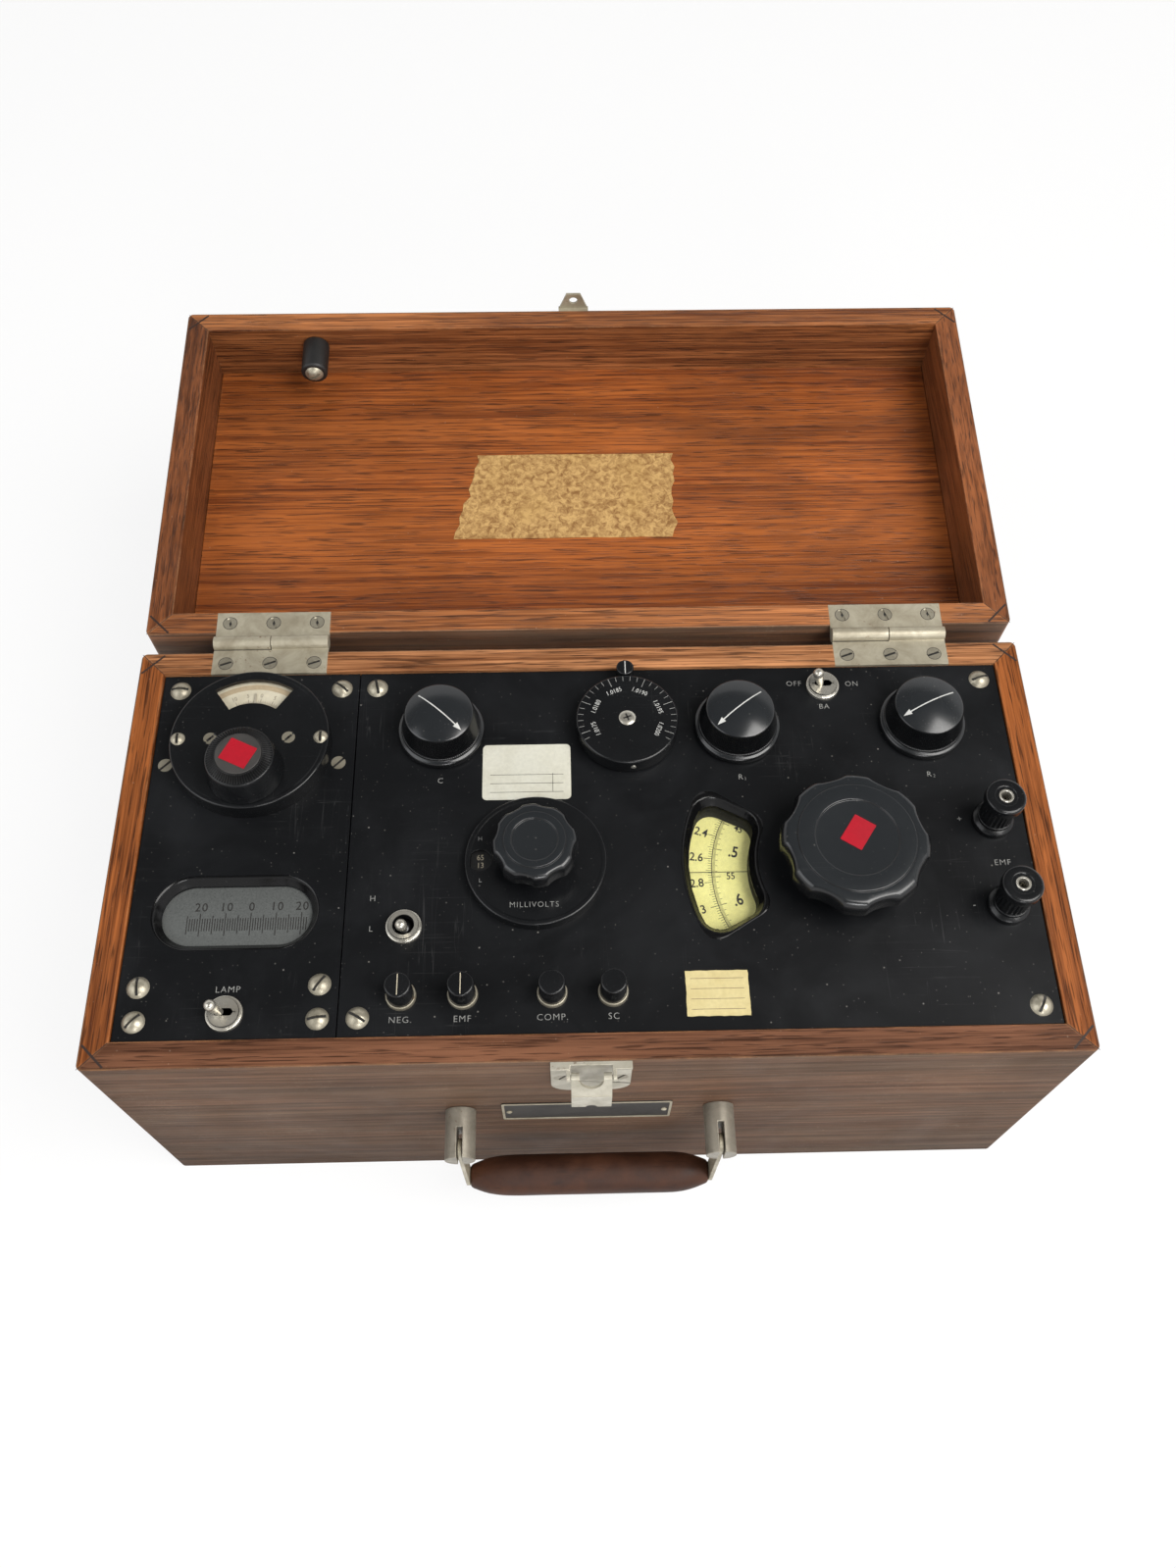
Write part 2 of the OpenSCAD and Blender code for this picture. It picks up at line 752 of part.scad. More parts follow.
module panel_blocks() {
    low = under_z - block_h;
    color("peru") difference() {
        for (b = [[block_left, block_rear], [block_left, block_deep], [block_mid, block_rear],
                  [block_mid, block_deep], [block_right, block_rear], [block_right, block_front]])
            box(b[0], b[1], [low, under_z]);
        for (p = concat(gal_screws, main_screws))
            put(p) drill(screw_r, panel_z - screw_len, panel_z, $fn = screw_fn);
    }
}

module galvanometer_panel() {
    color([0.09, 0.09, 0.1]) difference() {
        box([-panel_hw, seam_left], [-panel_hd, panel_hd], [under_z, panel_z]);
        put(gal_pos) drill(magnet_r + pass_gap, under_z - cut, panel_z + cut);
        put(win_pos, under_z - cut) linear_extrude(panel_t + 2 * cut)
            stadium(win_len - 2 * win_bevel, win_wide - 2 * win_bevel);
        put(win_pos, under_z + win_lip) linear_extrude(panel_t)
            stadium(win_len, win_wide);
        put(lamp_pos) drill(neck_r + hole_play / 2, under_z - cut, panel_z + cut);
        for (p = gal_screws)
            put(p) drill(screw_r + hole_play, under_z - cut, panel_z + cut, $fn = screw_fn);
        for (p = cover_screws)
            put(p) drill(cover_screw_r, under_z - cut, panel_z + cut, $fn = screw_fn);
        for (p = mount_screws)
            put(p, panel_z) flush_hole(csk_r, wood_screw_r, leaf_t, panel_t + cut);
    }
}

module main_panel() {
    color([0.09, 0.09, 0.1]) difference() {
        box([seam_right, panel_hw], [-panel_hd, panel_hd], [under_z, panel_z]);
        put(slide_pos, under_z - cut) linear_extrude(panel_t + 2 * cut)
            kidney(kidney_low + kidney_bevel, kidney_high - kidney_bevel,
                kidney_half - bevel_turn, kidney_corner - kidney_bevel);
        put(slide_pos, under_z + win_lip) linear_extrude(panel_t)
            kidney(kidney_low, kidney_high, kidney_half, kidney_corner);
        put(slide_pos) drill(slide_shaft_r + running_fit, under_z - cut, panel_z + cut);
        for (p = concat(pots, small_pots, [mv_pos]))
            put(p) drill(bush_r + hole_play / 2, under_z - cut, panel_z + cut);
        for (p = [battery_pos, range_pos])
            put(p) drill(neck_r + hole_play / 2, under_z - cut, panel_z + cut);
        for (p = keys)
            put(p) drill(key_hole_r, under_z - cut, panel_z + cut);
        for (p = posts)
            put(p) drill(stud_r + hole_play / 2, under_z - cut, panel_z + cut);
        put(index_at) drill(index_peg_r, under_z - cut, panel_z + cut);
        for (p = main_screws)
            put(p) drill(screw_r + hole_play, under_z - cut, panel_z + cut, $fn = screw_fn);
    }
}

module latch_screw_places() {
    for (s = [-1, 1])
        translate([s * latch_screw_x, front_y, case_h - latch_screw_down]) children();
}

module case_screws() {
    all_round = concat(gal_screws, main_screws);
    color("silver") {
        for (k = [0 : len(all_round) - 1])
            put(all_round[k], panel_z) round_screw(head_r, head_h, screw_r, screw_len, 47 * k);
        for (p = cover_screws)
            put(p, panel_z + gal_h)
                round_screw(cover_head_r, cover_head_h, cover_screw_r, gal_h + panel_t, 90);
        for (p = small_screws)
            put(p, panel_z + gal_h) flush_screw(small_head_r, cover_screw_r, gal_wall / 2, gal_wall, 45);
        for (p = mount_screws)
            put(p, panel_z) flush_screw(csk_r, wood_screw_r, leaf_t, panel_t + leaf_t, 45);
        translate([0, 0, case_h]) leaf_screws() flush_screw(csk_r, wood_screw_r, leaf_t, wood_screw_len, 20);
        latch_screw_places() translate([0, -latch_t, 0]) out_front()
            flush_screw(csk_r, wood_screw_r, latch_t, wood_screw_len, 60);
    }
}

module galvanometer_cover() {
    roof = panel_z + gal_h - gal_wall;
    top = panel_z + gal_h;
    color("dimgray") difference() {
        put(gal_pos) drill(gal_r, panel_z, top, $fn = 72);
        put(gal_pos) drill(gal_r - gal_wall, panel_z - cut, roof, $fn = 72);
        put(gal_pos, roof - cut) linear_extrude(gal_wall + 2 * cut) sector(arc_in, arc_out, arc_half);
        put(zero_at) drill(zero_shaft_r + running_fit, roof - cut, top + cut);
        for (p = cover_screws)
            put(p) drill(cover_screw_r, panel_z - cut, top + cut, $fn = screw_fn);
        for (p = small_screws)
            put(p, top) flush_hole(small_head_r, cover_screw_r, gal_wall / 2, gal_wall + cut);
    }
}

module galvanometer_scale() {
    low = scale_rise - scale_t;
    leg_ring = magnet_r - 2 * cover_screw_r;
    color("ivory") {
        put(gal_pos, panel_z + low) linear_extrude(scale_t)
            sector(arc_in - gal_wall, gal_r - gal_wall - pass_gap, arc_half + 4);
        for (s = [-1, 1])
            put(gal_pos, panel_z) rotate(s * arc_half * 0.9) translate([0, leg_ring, 0])
                cylinder(r = cover_screw_r, h = low + scale_t / 2, $fn = screw_fn);
    }
}

module galvanometer_magnet() {
    low = panel_z - magnet_h;
    ear_x = mount_screw_at + csk_r;
    bridge_x = magnet_bore + magnet_plate;
    bridge_y = [-magnet_plate, magnet_plate];
    color("gray") difference() {
        union() {
            put(gal_pos) drill(magnet_r, low, panel_z);
            put(gal_pos) box([-bridge_x, bridge_x], bridge_y, [panel_z - cut, panel_z + bridge_h]);
            put(gal_pos) translate([0, -mount_screw_front, 0])
                box([-ear_x, ear_x], [-mount_ear, mount_ear], [under_z - magnet_plate, under_z]);
        }
        difference() {
            put(gal_pos) drill(magnet_bore, low + magnet_plate, panel_z);
            put(gal_pos) box([-bridge_x, bridge_x], bridge_y, [panel_z - cut, panel_z + cut]);
        }
        put(gal_pos) drill(spindle_r + running_fit, low - cut, panel_z + bridge_h + cut, $fn = screw_fn);
        for (p = mount_screws)
            put(p) drill(wood_screw_r, under_z - magnet_plate - cut, under_z + cut, $fn = screw_fn);
    }
}

module galvanometer_coil() {
    low = panel_z - magnet_h;
    top = panel_z + scale_rise + pass_gap + 2 * pointer_t;
    coil = [magnet_bore * 0.75, 2.5, magnet_h * 0.28];
    mid = panel_z - magnet_h / 2;
    color("brown") {
        put(gal_pos) drill(spindle_r, low, top, $fn = screw_fn);
        put(gal_pos, mid) difference() {
            box([-coil[0], coil[0]], [-coil[1], coil[1]], [-coil[2], coil[2]]);
            box([-coil[0] + 2, coil[0] - 2], [-coil[1] - cut, coil[1] + cut], [-coil[2] + 2, coil[2] - 2]);
        }
        put(gal_pos, top - 2 * pointer_t) box([-0.4, 0.4], [-5, pointer_len], [0, pointer_t]);
    }
}

module zero_knob() {
    low = gal_h + pass_gap;
    color("black") put(zero_at, panel_z) {
        rotate_extrude() polygon([[0, low], [zero_base_r, low], [zero_base_r - 0.4, low + 1],
            [zero_r, zero_rise - 2.8], [zero_r - 0.6, zero_rise - 2], [zero_insert_r, zero_rise - 0.4],
            [zero_insert_r, zero_rise], [0, zero_rise]]);
        drill(zero_shaft_r, cut, low + cut);
    }
}

module scale_glass() {
    lap = 2 * (glass_lap - win_bevel);
    color([0.85, 0.9, 0.88]) put(win_pos, under_z - glass_t) linear_extrude(glass_t)
        stadium(win_len + lap, win_wide + lap);
}

module lamp_assembly() {
    foot = lamp_r + lamp_foot;
    color("lightgray") put(lamp_holder_at, under_z) {
        box([-foot, foot], [-foot, foot], [-lamp_foot, 0]);
        drill(lamp_r, -lamp_len, -cut);
        translate([0, 0, -lamp_len]) sphere(lamp_r - 1, $fn = 24);
    }
}

// Toggle body with its neck, bored for the lever ball; long side along X
module toggle_body(guard) {
    top = panel_z + neck_rise;
    bore_low = panel_z - pivot_drop - ball_r - pass_gap;
    bore_top = guard ? top - guard_t : top + cut;
    reach = (pivot_drop + neck_rise) * tan(lever_lean) + lever_r / cos(lever_lean) + pass_gap;
    half = [switch_box[0] / 2, switch_box[1] / 2];
    pin = lever_pin_half + pass_gap;
    difference() {
        union() {
            box([-half[0], half[0]], [-half[1], half[1]], [under_z - switch_box[2], under_z]);
            drill(neck_r, under_z - cut, top);
        }
        drill(ball_r + pass_gap, bore_low, bore_top);
        translate([0, 0, panel_z - pivot_drop]) out_front()
            drill(lever_pin_r + running_fit, -pin, pin, $fn = screw_fn);
        if (guard)
            box([-reach, reach], [-lever_r - pass_gap, lever_r + pass_gap], [bore_top - cut, top + cut]);
    }
}

module switch_bodies() {
    color("dimgray") {
        put(lamp_pos) toggle_body(true);
        put(battery_pos) toggle_body(true);
        put(range_pos) rotate(90) toggle_body(false);
        for (p = keys)
            put(p) difference() {
                drill(key_body_r, under_z - key_body_deep, under_z);
                drill(plunger_r + running_fit, under_z - key_body_deep - cut, under_z + cut);
            }
    }
}

module panel_nuts() {
    color("silver") {
        for (p = toggles)
            put(p) difference() {
                drill(nut_r, panel_z, panel_z + nut_h);
                drill(neck_r, panel_z - cut, panel_z + nut_h + cut);
            }
        for (p = keys)
            put(p) difference() {
                drill(key_hole_r + ferrule_wall, panel_z, panel_z + ferrule_h);
                drill(key_r + key_fit, panel_z - cut, panel_z + ferrule_h + cut);
            }
    }
}

// Lever leaning to the -X side, turned about the upright
module toggle_lever(at, turn) {
    color("silver") put(at, panel_z - pivot_drop) rotate(turn) rotate([0, -lever_lean, 0]) {
        sphere(ball_r, $fn = 32);
        out_front() drill(lever_pin_r, -lever_pin_half, lever_pin_half, $fn = screw_fn);
        cylinder(r1 = lever_r, r2 = lever_tip_r, h = lever_len - lever_tip_r, $fn = 24);
        translate([0, 0, lever_len - lever_tip_r]) sphere(lever_tip_r, $fn = 24);
    }
}

module lamp_toggle() {
    toggle_lever(lamp_pos, 0);
}

module battery_toggle() {
    toggle_lever(battery_pos, 0);
}

module range_toggle() {
    toggle_lever(range_pos, 90);
}

// Rheostat can with its bushing, top of the can at z
module rheostat(r, z) {
    difference() {
        union() {
            drill(r, z - pot_deep, z);
            drill(bush_r, z - cut, panel_z + bush_rise);
        }
        drill(shaft_r + running_fit, z - pot_deep + 3, panel_z + bush_rise + cut);
    }
}

module rheostat_bodies() {
    color("dimgray") {
        for (p = pots)
            put(p) rheostat(pot_r, under_z);
        for (p = small_pots)
            put(p) rheostat(small_pot_r, slide_base_z);
    }
}

// Skirted knob with its shaft, tip of the shaft at z
module skirt_knob(z) {
    recess = bush_rise + pass_gap;
    waist_r = skirt_r - 1.2;
    color("black") {
        translate([0, 0, panel_z]) rotate_extrude()
            polygon([[0, recess], [recess_r, recess], [recess_r, knob_lift], [skirt_r, knob_lift],
                [skirt_r, knob_lift + 3], [waist_r, knob_lift + 4], [knob_top_r + 0.6, knob_rise - 0.8],
                [knob_top_r, knob_rise], [knob_top_r * 0.75, knob_rise + dome_h * 0.6],
                [knob_top_r * 0.4, knob_rise + dome_h * 0.9], [0, knob_rise + dome_h]]);
        drill(shaft_r, z, panel_z + recess + cut);
    }
}

module c_knob() {
    put(c_pos) skirt_knob(under_z - pot_deep / 2);
}

module r1_knob() {
    put(r1_pos) skirt_knob(slide_base_z - pot_deep / 2);
}

module r2_knob() {
    put(r2_pos) skirt_knob(slide_base_z - pot_deep / 2);
}

module standard_dial() {
    recess = bush_rise + pass_gap;
    color("black") put(standard_pos) {
        difference() {
            drill(standard_r, panel_z + knob_lift, panel_z + standard_rise, $fn = 60);
            drill(recess_r, panel_z, panel_z + recess);
        }
        drill(shaft_r, under_z - pot_deep / 2, panel_z + recess + cut);
        translate([0, 0, panel_z + standard_rise - cut]) cylinder(r = head_r, h = cut + head_h / 3, $fn = 24);
    }
}

module dial_index() {
    color("black") put(index_at) {
        drill(index_r, panel_z, panel_z + index_h);
        drill(index_peg_r, under_z, panel_z + cut);
    }
}

module millivolt_cover() {
    top = panel_z + mv_h;
    color("black") put(mv_pos) difference() {
        drill(mv_r, panel_z, top, $fn = 72);
        drill(mv_r - mv_wall, panel_z - cut, top - mv_wall, $fn = 72);
        drill(mv_hub_r + pass_gap, panel_z, top + cut);
        translate([-mv_win_at, 0, 0]) drill(mv_win_r, panel_z, top + cut);
    }
}

module millivolt_deck() {
    color("tan") put(mv_pos) difference() {
        union() {
            drill(deck_r, under_z - deck_deep, under_z);
            drill(bush_r, under_z - cut, panel_z + disc_rise - pass_gap);
        }
        drill(shaft_r + running_fit, under_z - deck_deep + 3, panel_z + mv_h);
    }
}

module millivolt_number_disc() {
    low = panel_z + disc_rise;
    color("white") put(mv_pos) difference() {
        drill(disc_r, low, low + disc_t, $fn = 72);
        drill(shaft_r + running_fit, low - cut, low + disc_t + cut);
    }
}

// Round knob with shallow flutes between its lobes and a raised ring on top
module lobed_knob(r, low, high, turn, ring) {
    flute_r = r * flute_part;
    difference() {
        drill(r, low, high, $fn = 60);
        for (k = [0 : lobes - 1])
            rotate(turn + (k + 0.5) * 360 / lobes) translate([r * (1 + flute_out), 0, 0])
                drill(flute_r, low - cut, high + cut, $fn = 30);
    }
    difference() {
        drill(ring[1], high - cut, high + ring_h);
        drill(ring[0], high - cut, high + ring_h + cut);
    }
}

module millivolt_knob() {
    low = panel_z + mv_knob_low;
    seat = panel_z + disc_rise + disc_t;
    color("black") put(mv_pos) {
        lobed_knob(mv_knob_r, low, panel_z + mv_knob_rise, mv_lobe_turn, mv_ring);
        drill(mv_hub_r, seat, low + cut);
        drill(shaft_r, under_z - deck_deep / 2, seat + cut);
    }
}

module slidewire_base() {
    low = slide_base_z - slide_base_deep;
    ear_z = slide_base_z - pillar_ear;
    color("tan") put(slide_pos) difference() {
        union() {
            drill(base_rim, low, slide_base_z, $fn = 60);
            for (turn = pillar_turns)
                rotate(turn) {
                    box([base_rim / 2, pillar_ring], [-pillar_r, pillar_r], [ear_z, slide_base_z]);
                    translate([pillar_ring, 0, 0]) drill(pillar_r, ear_z, under_z, $fn = 24);
                }
        }
        drill(slide_shaft_r + running_fit, low + 3, slide_base_z + cut);
    }
}

module dial_window() {
    lap = window_lap - kidney_bevel;
    color([0.8, 0.9, 0.95]) put(slide_pos, under_z - window_t) linear_extrude(window_t)
        kidney(kidney_low - lap, kidney_high + lap, kidney_half - window_turn, kidney_corner);
}

module slidewire_dial() {
    color("khaki") put(slide_pos) difference() {
        union() {
            drill(dial_rim, dial_z - dial_t, dial_z, $fn = 90);
            drill(dial_hub_r, dial_z - cut, under_z - pass_gap);
        }
        drill(slide_shaft_r + running_fit, dial_z - dial_t - cut, panel_z);
    }
}

module slidewire_knob() {
    low = panel_z + slide_knob_low;
    color("black") put(slide_pos) {
        lobed_knob(slide_knob_r, low, panel_z + slide_knob_rise, slide_lobe_turn, slide_ring);
        drill(slide_hub_r, panel_z + knob_lift, low + cut);
        drill(slide_shaft_r, slide_base_z - slide_base_deep / 2, panel_z + knob_lift + cut);
    }
}

module key_cap(at) {
    color("black") put(at) difference() {
        drill(key_r, panel_z - key_skirt, panel_z + key_rise);
        drill(plunger_r + running_fit, panel_z - key_skirt - cut, key_bore_top);
    }
}

module key_plunger(at) {
    color("silver") put(at) drill(plunger_r, under_z - key_body_deep + key_travel, key_bore_top - pass_gap);
}

// Cap and plunger in one piece
module plain_key(at) {
    color("black") put(at) {
        drill(key_r, panel_z - key_skirt, panel_z + key_rise);
        drill(plunger_r, under_z - key_body_deep + key_travel, panel_z);
    }
}

module neg_key() {
    key_cap(keys[0]);
}

module neg_plunger() {
    key_plunger(keys[0]);
}

module emf_key() {
    key_cap(keys[1]);
}

module emf_plunger() {
    key_plunger(keys[1]);
}

module comp_key() {
    plain_key(keys[2]);
}

module sc_key() {
    plain_key(keys[3]);
}

module post_bases() {
    tip = panel_z + cap_rise + stud_proud;
    color("silver") for (p = posts)
        put(p) difference() {
            union() {
                drill(post_base_r, panel_z, panel_z + post_base_h);
                drill(stud_r, panel_z - stud_drop, tip);
                drill(post_nut[0], under_z - post_nut[1], under_z, $fn = 24);
            }
            drill(jack_r, tip - jack_deep, tip + cut);
        }
}

module post_collar(at) {
    color("silver") put(at) difference() {
        drill(collar_r, collar_z, collar_z + collar_h);
        drill(stud_r + running_fit, collar_z - cut, collar_z + collar_h + cut);
    }
}

module post_cap(at) {
    top = panel_z + cap_rise;
    color("black") put(at) difference() {
        union() {
            drill(cap_grip_r, cap_z, top);
            drill(cap_r, top - cap_flange_h, top);
        }
        drill(stud_r + running_fit, cap_z - cut, top + cut);
    }
}

module plus_collar() {
    post_collar(plus_pos);
}

module plus_cap() {
    post_cap(plus_pos);
}

module minus_collar() {
    post_collar(minus_pos);
}

module minus_cap() {
    post_cap(minus_pos);
}

module cells() {
    color("steelblue") for (i = [-1, 1], j = [-1, 1])
        put([gal_pos[0] + i * cell_pitch / 2, win_pos[1] + j * cell_pitch / 2])
            drill(cell_r, base_t, base_t + cell_h);
    color("gray") put(mv_pos, base_t)
        box([-can_box[0] / 2, can_box[0] / 2], [-can_box[1] / 2, can_box[1] / 2], [0, can_box[2]]);
}

module handle_studs() {
    pin_half = handle_stud_r - 0.3;
    color("silver") for (s = [-1, 1])
        translate([s * handle_at, front_y, handle_z]) {
            difference() {
                out_front() cylinder(r = handle_stud_r, h = handle_stud_len);
                box([-handle_slot / 2, handle_slot / 2],
                    [-handle_stud_len - cut, -handle_stud_len + handle_slot_deep],
                    [-2 * handle_stud_r, 2 * handle_stud_r]);
            }
            translate([-pin_half, -handle_stud_len + handle_pin_in, 0]) along_x()
                cylinder(r = handle_pin_r, h = 2 * pin_half, $fn = 24);
            out_front() drill(handle_shank_r, -board_t - handle_nut[1], cut, $fn = 24);
            out_front() drill(handle_nut[0], -board_t - handle_nut[1], -board_t, $fn = 24);
        }
}

// Tang of one side: a strap down from the eye, bent in to the grip
module tang_bar(s) {
    box([-tang_t / 2, tang_t / 2], [-tang_w / 2, tang_w / 2], [-grip_drop - tang_t / 2, 0]);
    box([s > 0 ? -tang_deep : 0, s > 0 ? 0 : tang_deep], [-tang_w / 2, tang_w / 2],
        [-grip_drop - tang_t / 2, -grip_drop + tang_t / 2]);
}

module handle_tangs() {
    color("gray") for (s = [-1, 1])
        translate([s * handle_at, handle_y, handle_z]) difference() {
            union() {
                tang_bar(s);
                translate([-tang_t / 2, 0, 0]) along_x() cylinder(d = tang_w, h = tang_t);
            }
            translate([-tang_t, 0, 0]) along_x()
                cylinder(r = handle_pin_r + running_fit, h = 2 * tang_t, $fn = 24);
        }
}

module handle_grip() {
    end = handle_at - tang_t / 2;
    step = (grip_r - grip_end_r) / 4;
    color("brown") translate([0, handle_y, handle_z]) difference() {
        translate([0, 0, -grip_drop]) along_x() rotate_extrude()
            polygon([[0, -end], [grip_end_r, -end], [grip_r - step, grip_taper / 2 - end],
                [grip_r, grip_taper - end], [grip_r, end - grip_taper],
                [grip_r - step, end - grip_taper / 2], [grip_end_r, end], [0, end]]);
        for (s = [-1, 1])
            translate([s * handle_at, 0, 0]) tang_bar(s);
    }
}

module latch_plate() {
    half = latch_plate[0];
    high = latch_plate[1];
    ear_x = latch_lever_w + pass_gap;
    ear_r = latch_knuckle_r;
    top = case_h - latch_down;
    color("silver") difference() {
        union() {
            translate([0, front_y, top]) out_front() linear_extrude(latch_t) {
                translate([-half, -high + latch_corner]) square([2 * half, high - latch_corner]);
                translate([-half + latch_corner, -high]) square([2 * (half - latch_corner), high]);
                for (s = [-1, 1])
                    translate([s * (half - latch_corner), -high + latch_corner]) circle(latch_corner);
            }
            for (s = [-1, 1]) {
                box([s > 0 ? ear_x : -ear_x - ear_t, s > 0 ? ear_x + ear_t : -ear_x],
                    [latch_y, front_y - latch_t / 2], [latch_z - ear_r, latch_z + ear_r]);
                translate([s > 0 ? ear_x : -ear_x - ear_t, latch_y, latch_z]) along_x()
                    cylinder(r = ear_r, h = ear_t);
                box([s > 0 ? ear_x : -half, s > 0 ? half : -ear_x],
                    [front_y - latch_flange, front_y], [top - latch_t, top]);
                translate([s > 0 ? tongue_gap : -ear_x - ear_t / 2, latch_y, latch_z]) along_x()
                    cylinder(r = latch_pin_r, h = ear_x + ear_t / 2 - tongue_gap, $fn = screw_fn);
            }
        }
        latch_screw_places() translate([0, -latch_t, 0]) out_front()
            flush_hole(csk_r, wood_screw_r, latch_t, latch_t + cut);
    }
}

module latch_lever() {
    face = -latch_knuckle_r;
    color("silver") translate([0, latch_y, latch_z]) rotate([-lever_out, 0, 0]) difference() {
        union() {
            for (s = [-1, 1])
                translate([s > 0 ? tongue_gap : -latch_lever_w, 0, 0]) along_x()
                    cylinder(r = latch_knuckle_r, h = latch_lever_w - tongue_gap);
            box([-latch_lever_w, latch_lever_w], [face, face + lever_t], [-lever_main, 0]);
            translate([0, face, -lever_main]) rotate([lever_out, 0, 0])
                box([-latch_lever_w, latch_lever_w], [0, lever_t], [-lever_lip, lever_t / 2]);
        }
        translate([-2 * latch_lever_w, 0, 0]) along_x()
            cylinder(r = latch_pin_r + running_fit, h = 4 * latch_lever_w, $fn = screw_fn);
        translate([0, cut, 0]) out_front() cylinder(r = tongue_gap, h = latch_pivot_out);
        translate([0, face, -lever_main]) rotate([lever_out, 0, 0]) translate([0, lever_t + cut, -lever_lip])
            out_front() cylinder(r = lip_notch, h = lever_t + 2 * cut, $fn = 24);
    }
}

module hinge_lower_leaves() {
    color("silver") for (s = [-1, 1])
        translate([s * hinge_at, 0, 0]) difference() {
            union() {
                box([-hinge_len / 2, hinge_len / 2], [in_hd, hinge_y - barrel_r - leaf_gap],
                    [case_h - leaf_t, case_h]);
                box([leaf_gap / 2, hinge_len / 2], [in_hd, hinge_y], [case_h - leaf_t, case_h]);
                translate([leaf_gap / 2, hinge_y, hinge_z]) along_x()
                    cylinder(r = barrel_r, h = hinge_len / 2 - leaf_gap / 2);
                translate([-hinge_len / 2, hinge_y, hinge_z]) along_x()
                    cylinder(r = hinge_pin_r, h = hinge_len / 2 + cut, $fn = 24);
            }
            for (k = [-1, 0, 1])
                translate([k * leaf_screw_pitch, rim_mid, case_h])
                    flush_hole(csk_r, wood_screw_r, leaf_t, leaf_t + cut);
        }
}

module hinge_upper_leaves() {
    color("silver") lid_pose() for (s = [-1, 1])
        translate([s * hinge_at, 0, 0]) difference() {
            union() {
                box([-hinge_len / 2, hinge_len / 2], [in_hd, hinge_y - barrel_r - leaf_gap],
                    [lid_z, lid_z + leaf_t]);
                box([-hinge_len / 2, -leaf_gap / 2], [in_hd, hinge_y], [lid_z, lid_z + leaf_t]);
                translate([-hinge_len / 2, hinge_y, hinge_z]) along_x()
                    cylinder(r = barrel_r, h = hinge_len / 2 - leaf_gap / 2);
            }
            translate([-hinge_len, hinge_y, hinge_z]) along_x()
                cylinder(r = hinge_pin_r + running_fit, h = 2 * hinge_len, $fn = 24);
            for (k = [-1, 0, 1])
                translate([k * leaf_screw_pitch, rim_mid, lid_z]) mirror([0, 0, 1])
                    flush_hole(csk_r, wood_screw_r, leaf_t, leaf_t + cut);
        }
}

module lid_wall(span, reach, turn) {
    translate([0, 0, lid_z]) mitred_wall(span, reach, turn, lid_h);
}

// Keeper screws, on the lid front face
module keeper_screw_places() {
    for (s = [-1, 1])
        translate([s * keeper_w * 0.6, front_y, lid_z + keeper_h * 0.7]) children();
}

module lid_front_board() {
    color("saddlebrown") lid_pose() difference() {
        lid_wall(case_w, case_d / 2, 0);
        keeper_screw_places() out_front() drill(wood_screw_r, -wood_screw_len, cut, $fn = screw_fn);
        translate([bumper_pos, front_y + board_t, lid_z + bumper_up]) out_front()
            drill(wood_screw_r, -cut, board_t / 2, $fn = screw_fn);
    }
}

module lid_rear_board() {
    color("saddlebrown") lid_pose() difference() {
        lid_wall(case_w, case_d / 2, 180);
        for (s = [-1, 1])
            box([s * hinge_at - hinge_len / 2, s * hinge_at + hinge_len / 2],
                [in_hd - cut, case_d / 2 + cut], [lid_z - cut, lid_z + leaf_t]);
        translate([0, 0, lid_z]) leaf_screws() drill(wood_screw_r, -cut, wood_screw_len, $fn = screw_fn);
    }
}

module lid_side_boards() {
    color("saddlebrown") lid_pose() for (turn = [-90, 90])
        lid_wall(case_d, case_w / 2, turn);
}

module lid_top_board() {
    color("saddlebrown") lid_pose()
        box([-in_hw, in_hw], [-in_hd, in_hd], [lid_z + lid_h - lid_top_t, lid_z + lid_h]);
}

module lid_keeper() {
    web = front_y - tongue_out - tongue_t;
    color("silver") lid_pose() difference() {
        union() {
            box([-keeper_w, keeper_w], [front_y - latch_t, front_y], [lid_z, lid_z + keeper_h]);
            box([-keeper_w, keeper_w], [web, front_y], [lid_z, lid_z + tongue_t]);
            translate([0, front_y - tongue_out, lid_z]) out_front() linear_extrude(tongue_t)
                polygon([[-keeper_w, tongue_t], [-tongue_tip, -tongue_len], [tongue_tip, -tongue_len],
                    [keeper_w, tongue_t]]);
        }
        translate([0, front_y, lid_z - tongue_len * 0.55]) out_front()
            cylinder(r = tongue_tip * 0.6, h = 2 * latch_pivot_out, $fn = screw_fn);
        keeper_screw_places() translate([0, -latch_t, 0]) out_front()
            flush_hole(small_head_r, wood_screw_r, latch_t, latch_t + cut);
    }
}

module lid_bumper() {
    color("black") lid_pose() translate([bumper_pos, front_y + board_t, lid_z + bumper_up])
        rotate([-90, 0, 0]) difference() {
            cylinder(r = bumper_r, h = bumper_len);
            drill(wood_screw_r, -cut, bumper_len + cut, $fn = screw_fn);
        }
}

module lid_screws() {
    color("silver") lid_pose() {
        translate([0, 0, lid_z]) leaf_screws() mirror([0, 0, 1])
            flush_screw(csk_r, wood_screw_r, leaf_t, wood_screw_len, 70);
        keeper_screw_places() translate([0, -latch_t, 0]) out_front()
            flush_screw(small_head_r, wood_screw_r, latch_t, wood_screw_len, 15);
        translate([bumper_pos, front_y + board_t + bumper_len, lid_z + bumper_up]) rotate([-90, 0, 0])
            round_screw(head_r, head_h, wood_screw_r, bumper_len + board_t / 2, 25);
    }
}

